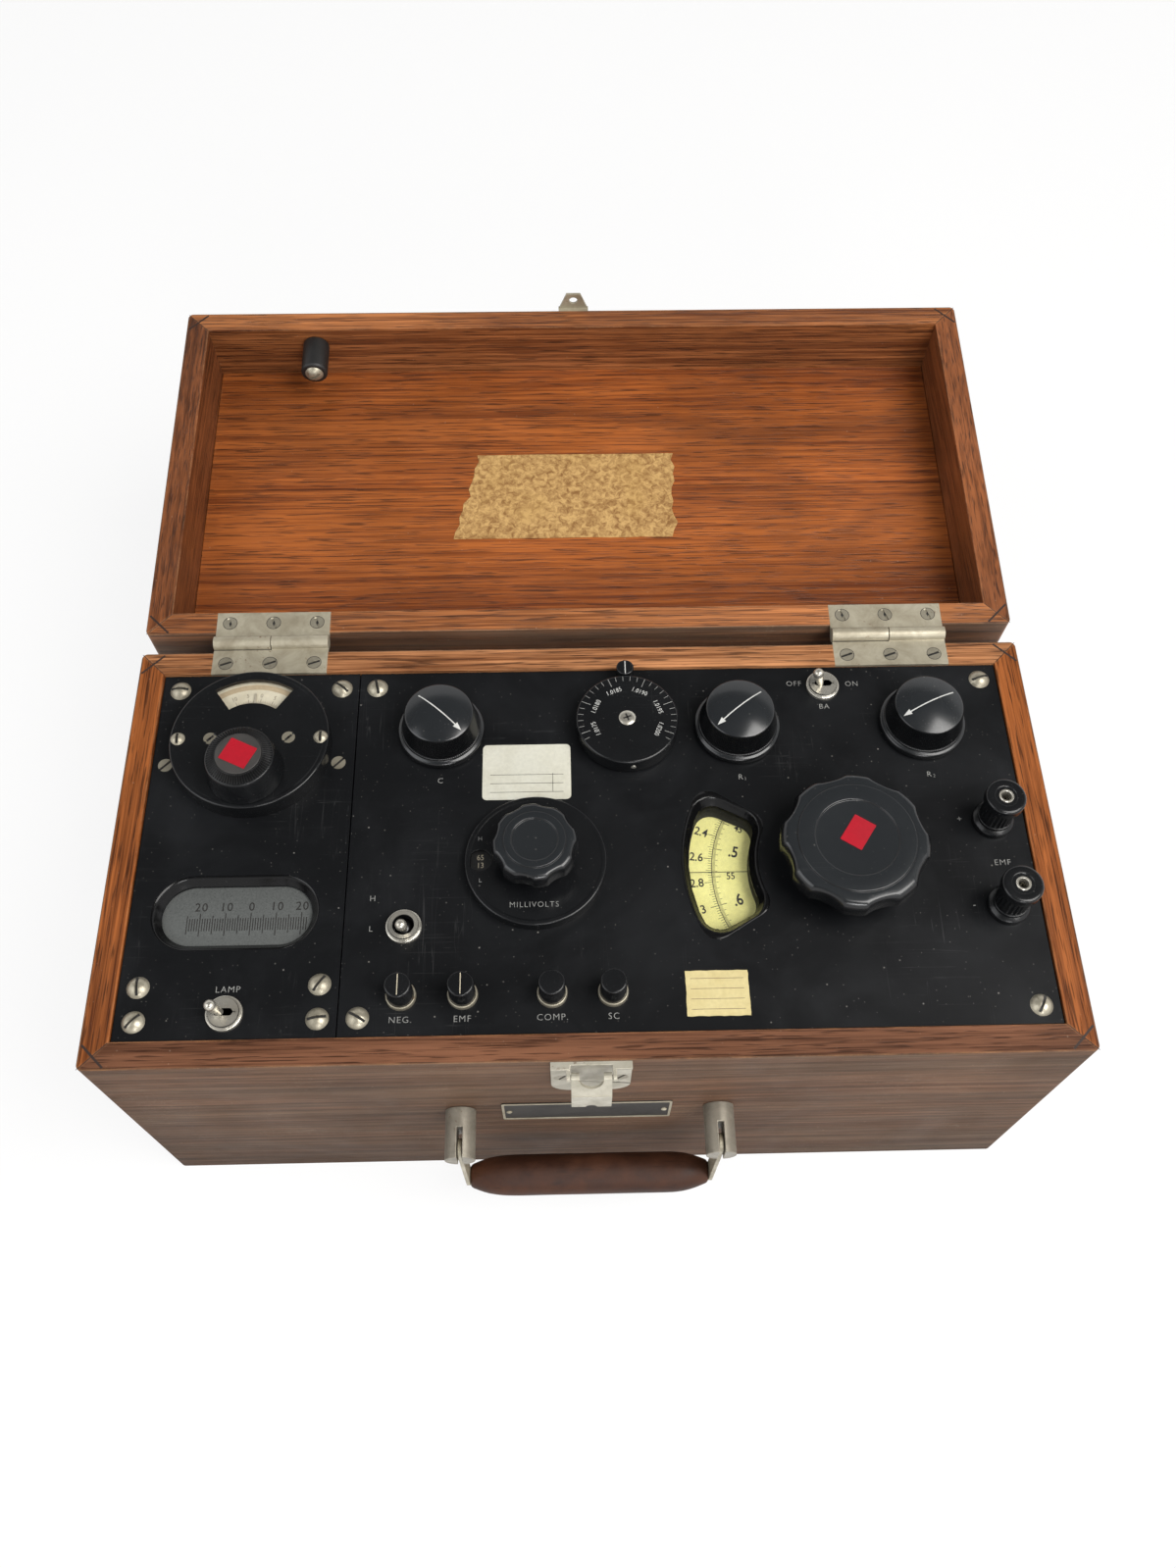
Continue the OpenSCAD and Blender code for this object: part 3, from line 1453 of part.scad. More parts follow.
case_front_board();
case_rear_board();
case_side_boards();
case_base_board();
panel_blocks();
galvanometer_panel();
main_panel();
case_screws();
galvanometer_cover();
galvanometer_scale();
galvanometer_magnet();
galvanometer_coil();
zero_knob();
scale_glass();
lamp_assembly();
switch_bodies();
panel_nuts();
lamp_toggle();
battery_toggle();
range_toggle();
rheostat_bodies();
c_knob();
r1_knob();
r2_knob();
standard_dial();
dial_index();
millivolt_cover();
millivolt_deck();
millivolt_number_disc();
millivolt_knob();
slidewire_base();
dial_window();
slidewire_dial();
slidewire_knob();
neg_key();
neg_plunger();
emf_key();
emf_plunger();
comp_key();
sc_key();
post_bases();
plus_collar();
plus_cap();
minus_collar();
minus_cap();
cells();
handle_studs();
handle_tangs();
handle_grip();
latch_plate();
latch_lever();
hinge_lower_leaves();
hinge_upper_leaves();
lid_front_board();
lid_rear_board();
lid_side_boards();
lid_top_board();
lid_keeper();
lid_bumper();
lid_screws();
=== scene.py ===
import math
import random
import bmesh
import bpy
from mathutils import Matrix, Vector


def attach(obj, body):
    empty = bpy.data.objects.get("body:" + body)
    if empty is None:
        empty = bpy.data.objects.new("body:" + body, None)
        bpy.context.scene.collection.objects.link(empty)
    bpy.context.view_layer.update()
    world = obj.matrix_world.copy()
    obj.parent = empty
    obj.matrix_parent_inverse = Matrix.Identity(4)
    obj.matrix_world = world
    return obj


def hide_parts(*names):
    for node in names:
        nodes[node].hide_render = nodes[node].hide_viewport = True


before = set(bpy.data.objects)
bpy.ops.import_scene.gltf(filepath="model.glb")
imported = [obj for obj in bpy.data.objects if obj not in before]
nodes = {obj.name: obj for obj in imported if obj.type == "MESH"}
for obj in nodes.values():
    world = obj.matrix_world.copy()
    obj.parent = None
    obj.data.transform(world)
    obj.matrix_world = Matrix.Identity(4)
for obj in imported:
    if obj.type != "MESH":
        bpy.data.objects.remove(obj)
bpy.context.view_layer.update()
mm = 0.001
panelTop = 155.0
lidHinge = (0, 99.6, 156.2)
lidOpen = -176.3


def rotation(degrees, axis):
    return Matrix.Rotation(math.radians(degrees), 4, axis)


lidSwing = Matrix.Translation(lidHinge) @ rotation(lidOpen, "X") @ Matrix.Translation(-Vector(lidHinge))
print("frame loaded")

# Camera and stage

view = dict(place=(-9.0, -246.7, 654.6), pitch=61.37, yaw=2.2, roll=1.01, lens=30.86)


def setUp(item, **settings):
    for key, value in settings.items():
        setattr(item, key, value)
    return item


def linked(name, data):
    item = bpy.data.objects.new(name, data)
    bpy.context.collection.objects.link(item)
    return item


def aimCamera():
    pitch, yaw, roll = (math.radians(view[key]) for key in ("pitch", "yaw", "roll"))
    ahead = Vector((math.sin(yaw) * math.cos(pitch), math.cos(yaw) * math.cos(pitch), -math.sin(pitch)))
    right = Vector((math.cos(yaw), -math.sin(yaw), 0))
    up = right.cross(ahead)
    across = math.cos(roll) * right + math.sin(roll) * up
    above = math.cos(roll) * up - math.sin(roll) * right
    lens = bpy.data.cameras.new("photoCamera")
    camera = linked("photoCamera", setUp(lens, sensor_fit="VERTICAL", sensor_height=36, lens=view["lens"]))
    turn = Matrix((across, above, -ahead)).transposed().to_4x4()
    camera.matrix_world = Matrix.Translation(Vector(view["place"]) * mm) @ turn
    bpy.context.scene.camera = camera


aimCamera()
bpy.context.scene.view_settings.view_transform = "Standard"

# Shader helpers


def wire(node, sockets):
    for key, value in sockets.items():
        socket = node.inputs[key]
        if isinstance(value, bpy.types.NodeSocket):
            node.id_data.links.new(value, socket)
        else:
            socket.default_value = (*value, 1.0) if socket.type == "RGBA" else value


def addNode(kind, sockets, **settings):
    # the node joins the tree that its linked sockets belong to
    tree = next(value.id_data for value in sockets.values() if isinstance(value, bpy.types.NodeSocket))
    node = setUp(tree.nodes.new(kind), **settings)
    wire(node, sockets)
    return node


def newGroup(name, inputs, outputs):
    group = bpy.data.node_groups.new(name, "ShaderNodeTree")
    for flow, sockets in (("INPUT", inputs), ("OUTPUT", outputs)):
        for label, kind in sockets.items():
            group.interface.new_socket(label, in_out=flow, socket_type="NodeSocket" + kind)
    return group, group.nodes.new("NodeGroupInput").outputs, group.nodes.new("NodeGroupOutput")


def useGroup(group, sockets):
    return addNode("ShaderNodeGroup", sockets, node_tree=group).outputs


def math1(operation, first, second=0.5):
    return addNode("ShaderNodeMath", {0: first, 1: second}, operation=operation).outputs[0]


def times(first, second):
    return math1("MULTIPLY", first, second)


def axisOf(vector, name):
    return addNode("ShaderNodeSeparateXYZ", {0: vector}).outputs[name]


def mapped(vector, turn, shift=(0, 0, 0)):
    return addNode("ShaderNodeMapping", {"Vector": vector, "Rotation": turn, "Location": shift}).outputs[0]


def noise(vector, scale, detail=2.0, rough=0.5, twist=0.0):
    # a scale of three numbers stretches the noise
    if isinstance(scale, tuple):
        vector = addNode("ShaderNodeVectorMath", {0: vector, 1: scale}, operation="MULTIPLY").outputs[0]
        scale = 1.0
    sockets = {"Vector": vector, "Scale": scale, "Detail": detail, "Roughness": rough, "Distortion": twist}
    return addNode("ShaderNodeTexNoise", sockets).outputs["Fac"]


def remap(value, low, high, start=0.0, end=1.0):
    sockets = {"Value": value, "From Min": low, "From Max": high, "To Min": start, "To Max": end}
    return addNode("ShaderNodeMapRange", sockets, clamp=True).outputs["Result"]


def mixColor(factor, first, second, blend="MIX"):
    sockets = {0: factor, 6: first, 7: second}
    return addNode("ShaderNodeMix", sockets, data_type="RGBA", blend_type=blend).outputs[2]


def tint(color, mask, share, other):
    return mixColor(times(mask, share), color, other)


def shaded(color, value):
    grey = addNode("ShaderNodeCombineColor", {0: value, 1: value, 2: value}).outputs[0]
    return mixColor(1.0, color, grey, "MULTIPLY")


looks = {}


def newMaterial(name):
    looks[name] = setUp(bpy.data.materials.new(name), use_nodes=True)
    return looks[name].node_tree.nodes.new("ShaderNodeTexCoord").outputs["Object"]


def dress(color, rough, height=None, strength=0.0, distance=0.0, shine=0.5, metallic=0.0, alpha=1.0):
    sockets = {"Base Color": color, "Roughness": rough, "Specular IOR Level": shine, "Metallic": metallic,
               "Alpha": alpha}
    if height:
        bump = {"Height": height, "Strength": strength, "Distance": distance}
        sockets["Normal"] = addNode("ShaderNodeBump", bump).outputs["Normal"]
    wire(color.id_data.nodes["Principled BSDF"], sockets)


# Shared shader groups


def buildGrain():
    group, start, end = newGroup("woodGrain", dict(Vector="Vector", Light="Color", Dark="Color"),
                                 dict(Color="Color", Height="Float"))
    vector = start["Vector"]
    broad = noise(vector, (1.8, 26.0, 26.0), 3.0, 0.55, 0.5)
    streak = noise(vector, (8.0, 430.0, 430.0), 4.0, 0.62, 0.2)
    fibre = noise(vector, (20.0, 1250.0, 1250.0), 2.0, 0.6, 0.1)
    pores = remap(noise(vector, (60.0, 1400.0, 1400.0), 1.0), 0.57, 0.65)
    tone = math1("ADD", times(broad, 0.34), times(fibre, 0.34))
    tone = math1("ADD", tone, times(streak, 0.44))
    color = mixColor(remap(tone, 0.46, 0.65), start["Dark"], start["Light"])
    color = tint(color, pores, 0.65, (0.022, 0.007, 0.003))
    height = math1("SUBTRACT", times(fibre, 0.5), times(pores, 0.7))
    wire(end, {"Color": color, "Height": height})
    return group


def buildEdge():
    group, start, end = newGroup("edgeWear", dict(Vector="Vector", Radius="Float"), dict(Mask="Float"))
    soft = addNode("ShaderNodeBevel", {"Radius": start["Radius"]}, samples=4).outputs["Normal"]
    flat = group.nodes.new("ShaderNodeNewGeometry").outputs["Normal"]
    same = addNode("ShaderNodeVectorMath", {0: soft, 1: flat}, operation="DOT_PRODUCT").outputs["Value"]
    patch = remap(noise(start["Vector"], 90.0, 4.0, 0.65), 0.4, 0.62)
    wire(end, {"Mask": times(remap(same, 0.995, 0.86), patch)})
    return group


def buildDust():
    group, start, end = newGroup("dustAndScratches", dict(Vector="Vector"),
                                 dict(Specks="Float", Scratches="Float", Smudge="Float"))
    vector = start["Vector"]

    def dots(scale, edge, core, channel, rare, most, share):
        cells = addNode("ShaderNodeTexVoronoi", {"Vector": vector, "Scale": scale}).outputs
        pick = addNode("ShaderNodeSeparateColor", {"Color": cells["Color"]}).outputs[channel]
        return times(remap(cells["Distance"], edge, core), remap(pick, rare, most, 0.0, share))

    specks = math1("MAXIMUM", dots(300.0, 0.13, 0.06, 0, 0.86, 0.98, 1.0),
                   dots(700.0, 0.2, 0.1, 1, 0.86, 0.99, 0.5))
    lines = []
    for scale in ((16.0, 620.0, 620.0), (480.0, 20.0, 700.0)):
        grain = noise(vector, scale, 1.0, 0.4, 0.4)
        near = math1("ABSOLUTE", math1("SUBTRACT", grain, 0.64))
        lines.append(remap(near, 0.01, 0.002))
    where = remap(noise(vector, 24.0), 0.54, 0.68)
    scratch = times(math1("MAXIMUM", *lines), where)
    wire(end, {"Specks": specks, "Scratches": scratch, "Smudge": noise(vector, 22.0, 5.0, 0.6, 0.6)})
    return group


def buildTarnish():
    group, start, end = newGroup("metalTarnish", dict(Vector="Vector"),
                                 dict(Cloud="Float", Rust="Float", Brush="Float"))
    vector = start["Vector"]
    spots = remap(noise(vector, 520.0, 3.0, 0.6), 0.6, 0.7)
    zones = remap(noise(vector, 60.0), 0.5, 0.66)
    wire(end, {"Cloud": noise(vector, 85.0, 5.0, 0.65, 0.5), "Rust": times(spots, zones),
               "Brush": noise(vector, (160.0, 1400.0, 900.0), 2.0, 0.6)})
    return group


grainGroup = buildGrain()
edgeGroup = buildEdge()
dustGroup = buildDust()
tarnishGroup = buildTarnish()
print("shader groups built")

# Materials

outside = dict(X=0.195, Y=0.0945, roof=0.1964)    # the case's walls and the top of the shut lid, in metres


def outerFace(place):
    # 1 on the outer walls and the top of the shut lid, 0 inside them
    reach = math1("SUBTRACT", axisOf(place, "Z"), outside["roof"])
    for name in ("X", "Y"):
        wall = math1("SUBTRACT", math1("ABSOLUTE", axisOf(place, name)), outside[name])
        reach = math1("MAXIMUM", reach, wall)
    return remap(reach, -0.0007, -0.0002)


def woodMaterial(name, light, dark, along="X", faded=None, stain=0.0, shine=0.35, seam=None, lid=False):
    place = newMaterial(name)
    vector = mapped(place, (0, 0, math.pi / 2)) if along == "Y" else place
    grain = useGroup(grainGroup, {"Vector": vector, "Light": light, "Dark": dark})
    edge = useGroup(edgeGroup, {"Vector": place, "Radius": 0.0014})["Mask"]
    dust = useGroup(dustGroup, {"Vector": place})
    color = grain["Color"]
    rough = remap(dust["Smudge"], 0.3, 0.7, 0.36, 0.54)
    if faded:
        shut = place
        if lid:
            # where a point of the open lid lies when the lid is shut
            shut = mapped(place, (math.radians(-lidOpen), 0, 0), lidSwing.inverted().translation * mm)
        outer = outerFace(shut)
        blotch = remap(noise(vector, (5.0, 75.0, 75.0), 5.0, 0.65, 0.6), 0.3, 0.66, 0.4, 0.97)
        color = tint(color, outer, blotch, faded)
        pale = remap(noise(vector, (9.0, 60.0, 60.0), 4.0, 0.6, 1.2), 0.6, 0.76)
        color = tint(color, times(outer, pale), 0.4, (0.2, 0.14, 0.095))
        lines = remap(noise(vector, (7.0, 330.0, 330.0), 4.0, 0.66, 0.3), 0.34, 0.66, -0.38, 0.3)
        color = shaded(color, math1("ADD", times(outer, lines), 1.0))
        # painted shade: the board darker towards the bottom, by the height each point has with the lid shut
        color = shaded(color, remap(axisOf(shut, "Z"), 0.0, 0.09, 0.66, 1.0))
        color = tint(color, times(dust["Scratches"], outer), 0.55, (0.32, 0.25, 0.19))
        rough = math1("ADD", rough, times(outer, 0.2))
    color = shaded(color, remap(noise(place, 12.0, 3.0, 0.6, 0.4), 0.35, 0.68, 0.8, 1.12))
    if seam:
        # two boards side by side, the far one paler along the joint
        depth = axisOf(place, "Y")
        near = math1("ABSOLUTE", math1("SUBTRACT", depth, seam))
        for ramp in ((depth, seam - 0.0004, seam + 0.0004, 0.8, 1.0),
                     (depth, seam + 0.02, seam + 0.0006, 1.0, 1.4), (near, 0.0002, 0.0007, 0.55, 1.0)):
            color = shaded(color, remap(*ramp))
    if stain:
        mark = remap(noise(vector, (7.0, 16.0, 16.0), 4.0, 0.55, 1.0), 0.56, 0.74, 0.0, stain)
        color = mixColor(mark, color, (0.05, 0.014, 0.006))
    color = tint(color, edge, 0.6, (0.42, 0.2, 0.085))
    color = tint(color, dust["Specks"], 0.22, (0.55, 0.42, 0.3))
    dress(color, rough, grain["Height"], 0.4, 0.0004, shine)


def blackMaterial(name, base, gloss, dusty=0.3, shine=0.5, haze=1.9, topDustAndLight=None):
    place = newMaterial(name)
    dust = useGroup(dustGroup, {"Vector": place})
    lift = [haze * value for value in base]
    color = mixColor(remap(dust["Smudge"], 0.45, 0.8), base, lift)
    if topDustAndLight:
        # fine dust and painted light: what faces up is painted paler
        upward = axisOf(place.id_data.nodes.new("ShaderNodeNewGeometry").outputs["Normal"], "Z")
        color = mixColor(remap(upward, 0.7, 0.99), color, topDustAndLight)
    color = tint(color, dust["Scratches"], 0.3 * dusty, (0.16, 0.16, 0.16))
    color = tint(color, dust["Specks"], dusty, (0.4, 0.38, 0.35))
    rough = remap(dust["Smudge"], 0.3, 0.72, gloss - 0.05, gloss + 0.1)
    dress(color, rough, shine=shine)


def metalMaterial(name, base, dull, gloss, rust=0.8, metallic=1.0):
    place = newMaterial(name)
    tarnish = useGroup(tarnishGroup, {"Vector": place})
    color = mixColor(remap(tarnish["Cloud"], 0.36, 0.68), base, dull)
    color = tint(color, tarnish["Rust"], rust, (0.13, 0.06, 0.025))
    rough = remap(tarnish["Cloud"], 0.3, 0.7, gloss - 0.07, gloss + 0.13)
    dress(color, rough, tarnish["Brush"], 0.03, 0.0002, metallic=metallic)


def sheetMaterial(name, base, stain, gloss=0.6, fibre=600.0):
    place = newMaterial(name)
    cloud = noise(place, 60.0, 4.0, 0.6, 0.4)
    fine = noise(place, fibre, 3.0, 0.6)
    color = mixColor(remap(cloud, 0.35, 0.75), base, stain)
    color = shaded(color, remap(fine, 0.3, 0.7, 0.93, 1.04))
    rough = remap(cloud, 0.3, 0.7, gloss - 0.06, gloss + 0.08)
    dress(color, rough, fine, 0.05, 0.0002)


def tapeMaterial(name):
    place = newMaterial(name)
    grain = noise(place, 330.0, 4.0, 0.7, 0.6)
    patch = remap(noise(place, 40.0), 0.55, 0.75, 0.0, 0.4)
    color = mixColor(remap(grain, 0.36, 0.62), (0.24, 0.115, 0.034), (0.56, 0.35, 0.13))
    color = mixColor(patch, color, (0.45, 0.27, 0.08))
    dress(color, remap(grain, 0.3, 0.7, 0.4, 0.62), grain, 0.25, 0.0003)


def leatherMaterial(name):
    place = newMaterial(name)
    cells = addNode("ShaderNodeTexVoronoi", {"Vector": place, "Scale": 900.0}).outputs["Distance"]
    crease = noise(place, (60.0, 420.0, 420.0), 3.0, 0.6, 0.5)
    cloud = noise(place, 55.0, 4.0, 0.6)
    color = mixColor(remap(cloud, 0.35, 0.7), (0.028, 0.0095, 0.0045), (0.07, 0.025, 0.011))
    color = mixColor(remap(crease, 0.6, 0.72, 0.0, 0.6), color, (0.014, 0.005, 0.003))
    rough = remap(cloud, 0.3, 0.7, 0.48, 0.66)
    height = math1("SUBTRACT", times(cells, 0.5), crease)
    dress(color, rough, height, 0.2, 0.0004, 0.3)


def frostMaterial(name):
    place = newMaterial(name)
    # painted light: the frosted glass paler towards its front edge
    across = remap(axisOf(place, "Y"), -0.0455, -0.0155)
    color = mixColor(across, (0.105, 0.111, 0.108), (0.072, 0.076, 0.074))
    grit = noise(place, 1500.0)
    color = mixColor(remap(grit, 0.4, 0.75, 0.0, 0.2), color, (0.2, 0.21, 0.2))
    dress(color, remap(grit, 0.3, 0.7, 0.26, 0.42), grit, 0.06, 0.0001)


def clearMaterial(name):
    place = newMaterial(name)
    haze = noise(place, 60.0, 4.0, 0.6)
    color = mixColor(haze, (0.2, 0.2, 0.17), (0.32, 0.32, 0.28))
    dress(color, remap(haze, 0.3, 0.7, 0.05, 0.14), alpha=remap(haze, 0.35, 0.75, 0.02, 0.06))


frontFade, sideFade = (0.135, 0.084, 0.054), (0.12, 0.072, 0.045)
woods = dict(
    # painted light: the rear board's wood is paler than the same wood on the sides, for light on the rear rim
    rimWood=dict(light=(0.62, 0.28, 0.122), dark=(0.17, 0.062, 0.023), faded=sideFade, shine=0.15),
    rimWoodCross=dict(light=(0.36, 0.11, 0.029), dark=(0.085, 0.022, 0.006),
                      along="Y", faded=sideFade, shine=0.15),
    frontWood=dict(light=(0.185, 0.079, 0.042), dark=(0.05, 0.018, 0.0085), faded=frontFade, shine=0.12),
    lidWood=dict(light=(0.47, 0.174, 0.058), dark=(0.125, 0.037, 0.011), stain=0.3, faded=frontFade, lid=True),
    lidWoodCross=dict(light=(0.28, 0.092, 0.031), dark=(0.085, 0.025, 0.0075),
                      along="Y", faded=sideFade, lid=True),
    lidFloor=dict(light=(0.36, 0.102, 0.021), dark=(0.13, 0.03, 0.006), stain=0.45, seam=0.2085,
                  faded=frontFade, lid=True),
    pineWood=dict(light=(0.5, 0.33, 0.17), dark=(0.34, 0.2, 0.09)),
)
for name, values in woods.items():
    woodMaterial(name, **values)

# base colour, gloss, dust, shine, haze, and the colour of settled dust and painted light on upward faces
blacks = dict(
    panelBlack=((0.005, 0.0054, 0.0062), 0.34, 0.45, 0.22),
    knobBlack=((0.0056, 0.006, 0.0067), 0.2, 0.2, 0.34, 1.5),
    dustyKnob=((0.0056, 0.006, 0.0067), 0.2, 0.2, 0.5, 1.4, (0.0142, 0.0162, 0.0182)),
    knurlBlack=((0.0045, 0.0045, 0.0047), 0.34, 0.1, 0.3),
    pitBlack=((0.003, 0.003, 0.003), 0.6, 0.05, 0.08),
    windowLip=((0.0035, 0.0035, 0.0038), 0.16, 0.1, 0.26, 1.5),
    softBlack=((0.008, 0.0078, 0.0076), 0.5, 0.2),
    bakelite=((0.05, 0.024, 0.012), 0.35, 0.1),
    jointLine=((0.02, 0.008, 0.004), 0.6, 0.1),
)
# base colour, dull colour, gloss, rust and metallic
metals = dict(
    nickel=((0.42, 0.385, 0.3), (0.25, 0.225, 0.17), 0.36, 0.8, 0.6),
    leafNickel=((0.46, 0.42, 0.32), (0.28, 0.245, 0.175), 0.42, 0.9, 0.35),
    latchNickel=((0.54, 0.51, 0.425), (0.36, 0.335, 0.265), 0.36, 0.6, 0.45),
    studNickel=((0.3, 0.275, 0.225), (0.19, 0.17, 0.135), 0.42, 0.8, 0.5),
    brightNickel=((0.58, 0.56, 0.5), (0.42, 0.39, 0.33), 0.24, 0.2, 0.75),
    paleMetal=((0.56, 0.5, 0.4), (0.45, 0.4, 0.3), 0.4, 0.0, 0.3),
    darkMetal=((0.09, 0.09, 0.09), (0.05, 0.05, 0.05), 0.4, 0.2),
    iron=((0.2, 0.2, 0.21), (0.12, 0.12, 0.12), 0.55, 0.5),
    etchedPlate=((0.03, 0.028, 0.026), (0.06, 0.055, 0.05), 0.42, 0.3, 0.6),
)
# base colour, stain colour, gloss and fineness
sheets = dict(
    scaleCard=((0.7, 0.65, 0.51), (0.6, 0.53, 0.38)),
    scaleBand=((0.5, 0.4, 0.26), (0.42, 0.32, 0.2)),
    yellowDial=((0.95, 0.91, 0.36), (0.89, 0.84, 0.3), 0.45),
    whitePaper=((0.64, 0.63, 0.54), (0.54, 0.52, 0.42)),
    yellowPaper=((0.63, 0.54, 0.27), (0.53, 0.43, 0.19)),
    paintWhite=((0.62, 0.62, 0.6), (0.48, 0.48, 0.46), 0.5),
    paintDim=((0.3, 0.3, 0.285), (0.2, 0.2, 0.19), 0.5),
    paintWarm=((0.56, 0.5, 0.37), (0.46, 0.4, 0.29), 0.5),
    # black for print, also used for the painted shade in screw slots
    inkBlack=((0.012, 0.011, 0.01), (0.02, 0.018, 0.016), 0.5),
    inkBrown=((0.13, 0.09, 0.06), (0.18, 0.13, 0.09), 0.5),
    redInsert=((0.42, 0.008, 0.02), (0.33, 0.006, 0.016), 0.3),
    greyInsert=((0.05, 0.046, 0.043), (0.016, 0.015, 0.014), 0.5, 1500.0),
    cellWrap=((0.12, 0.13, 0.17), (0.09, 0.1, 0.13)),
)
for build, table in ((blackMaterial, blacks), (metalMaterial, metals), (sheetMaterial, sheets)):
    for name, values in table.items():
        build(name, *values)
tapeMaterial("mottledTape")
leatherMaterial("gripLeather")
frostMaterial("frostedScale")
clearMaterial("clearPane")
print("materials built")

# Mesh helpers, in millimetres


def makePiece(name, parts, look, body, stands=(), smooth=38):
    # each part is a builder and what it is given after the bmesh
    bm = bmesh.new()
    for build, *values in parts:
        build(bm, *values)
    bmesh.ops.recalc_face_normals(bm, faces=bm.faces)
    bmesh.ops.scale(bm, vec=(mm, mm, mm), verts=bm.verts)
    mesh = bpy.data.meshes.new(name)
    bm.to_mesh(mesh)
    bm.free()
    for polygon in mesh.polygons:
        polygon.use_smooth = True
    mesh.set_sharp_from_angle(angle=math.radians(smooth))
    mesh.materials.append(looks[look])
    piece = linked(name, mesh)
    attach(piece, body)
    if stands:
        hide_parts(*stands)
    return piece


def fromNode(bm, node):
    bm.from_mesh(nodes[node].data)
    bmesh.ops.remove_doubles(bm, verts=bm.verts, dist=0.00002)
    bmesh.ops.dissolve_limit(bm, angle_limit=math.radians(1.5), verts=bm.verts, edges=bm.edges)
    bmesh.ops.scale(bm, vec=(1 / mm, 1 / mm, 1 / mm), verts=bm.verts)


def softNode(node, look, body, slotName, width, segments=2):
    # the solid's own shape, with its sharp edges eased
    sharp = 32
    piece = makePiece(node + ".soft", [(fromNode, node)], look, body, (node,), sharp)
    setUp(piece.modifiers.new("bevel", "BEVEL"), width=width * mm, segments=segments, limit_method="ANGLE",
          angle_limit=math.radians(sharp), profile=0.5)
    setUp(piece.modifiers.new("even", "WEIGHTED_NORMAL"), keep_sharp=True)


def at(x, y, z=0.0, turn=0.0):
    return Matrix.Translation((x, y, z)) @ rotation(turn, "Z")


def addPart(bm, part, place):
    bmesh.ops.transform(part, matrix=place, verts=part.verts)
    mesh = bpy.data.meshes.new("part")
    part.to_mesh(mesh)
    part.free()
    bm.from_mesh(mesh)
    bpy.data.meshes.remove(mesh)


def roundCorners(part, verts, size, steps):
    bmesh.ops.bevel(part, geom=verts, offset=size, offset_type="OFFSET", segments=steps, profile=0.5,
                    affect="VERTICES", material=-1)


def turned(bm, profile, count, place, ripple=None):
    # profile points are (radius, height) or (radius, height, size of the rounding)
    part = bmesh.new()
    outline = [part.verts.new((point[0], 0, point[1])) for point in profile]
    rooms = [0.48 * part.edges.new(pair).calc_length() for pair in zip(outline, outline[1:])]
    for index, point in enumerate(profile[1:-1]):
        if len(point) > 2:
            roundCorners(part, [outline[index + 1]], min(point[2], *rooms[index:index + 2]), 4)
    bmesh.ops.spin(part, geom=list(part.verts) + list(part.edges), cent=(0, 0, 0), axis=(0, 0, 1),
                   angle=2 * math.pi, steps=count, use_merge=True)
    bmesh.ops.remove_doubles(part, verts=part.verts, dist=0.0005)
    for vert in part.verts if ripple else ():
        angle = math.atan2(vert.co.y, vert.co.x)
        radius, height = ripple(angle, vert.co.to_2d().length, vert.co.z)
        vert.co = (radius * math.cos(angle), radius * math.sin(angle), height)
    addPart(bm, part, place)


def rod(radius, low, high):
    return [(0, low), (radius, low), (radius, high), (0, high)]


def thicken(part, height):
    made = bmesh.ops.extrude_face_region(part, geom=list(part.faces))["geom"]
    verts = [item for item in made if isinstance(item, bmesh.types.BMVert)]
    bmesh.ops.translate(part, vec=(0, 0, height), verts=verts)


def roundedFace(part, width, depth, radius, z, steps=5):
    shape = Matrix.Translation((0, 0, z)) @ Matrix.Diagonal((width, depth, 1, 1))
    corners = bmesh.ops.create_grid(part, x_segments=1, y_segments=1, size=0.5, matrix=shape)["verts"]
    roundCorners(part, corners, min(radius, 0.499 * depth), steps)


def roundedSlab(bm, width, depth, radius, low, high, place):
    part = bmesh.new()
    roundedFace(part, width, depth, radius, low)
    thicken(part, high - low)
    addPart(bm, part, place)


def sector(bm, inner, outer, start, end, thick, place):
    part = bmesh.new()
    ends = [part.verts.new((radius, 0, 0)) for radius in (inner, outer)]
    first = part.edges.new(ends)
    bmesh.ops.rotate(part, verts=ends, cent=(0, 0, 0), matrix=Matrix.Rotation(math.radians(start), 3, "Z"))
    bmesh.ops.spin(part, geom=ends + [first], cent=(0, 0, 0), axis=(0, 0, 1), angle=math.radians(end - start),
                   steps=max(4, int(abs(end - start) / 2)))
    thicken(part, thick)
    addPart(bm, part, place)


def bar(bm, length, width, place, thick=0.05):
    shape = Matrix.Translation((0, 0, thick / 2)) @ Matrix.Diagonal((length, width, thick, 1))
    bmesh.ops.create_cube(bm, size=1.0, matrix=place @ shape)


def spoke(center, turn, reach, z):
    # a place at this reach and turn round a centre, turned with it
    angle = math.radians(turn)
    return at(center[0] + reach * math.cos(angle), center[1] + reach * math.sin(angle), z, turn)


def radial(bm, center, turn, inner, outer, width, z):
    bar(bm, outer - inner, width, spoke(center, turn, (inner + outer) / 2, z))


def graded(step, grades):
    # what the first count that divides this step is given
    return next(value for count, value in grades.items() if step % count == 0)


def letters(bm, text, height, place, squeeze=1.0, bold=0.0, spacing=1.0):
    size = height / 0.73    # the font's capitals are 0.73 of its size
    curve = setUp(bpy.data.curves.new("legend", "FONT"), body=text, align_x="CENTER", align_y="CENTER",
                  resolution_u=3, extrude=0.02, offset=bold, space_character=spacing)
    holder = linked("legend", curve)
    graph = bpy.context.evaluated_depsgraph_get()
    mesh = bpy.data.meshes.new_from_object(holder.evaluated_get(graph))
    mesh.transform(place @ Matrix.Diagonal((size * squeeze, size, 1, 1)))
    bm.from_mesh(mesh)
    bpy.data.objects.remove(holder)
    bpy.data.curves.remove(curve)
    bpy.data.meshes.remove(mesh)


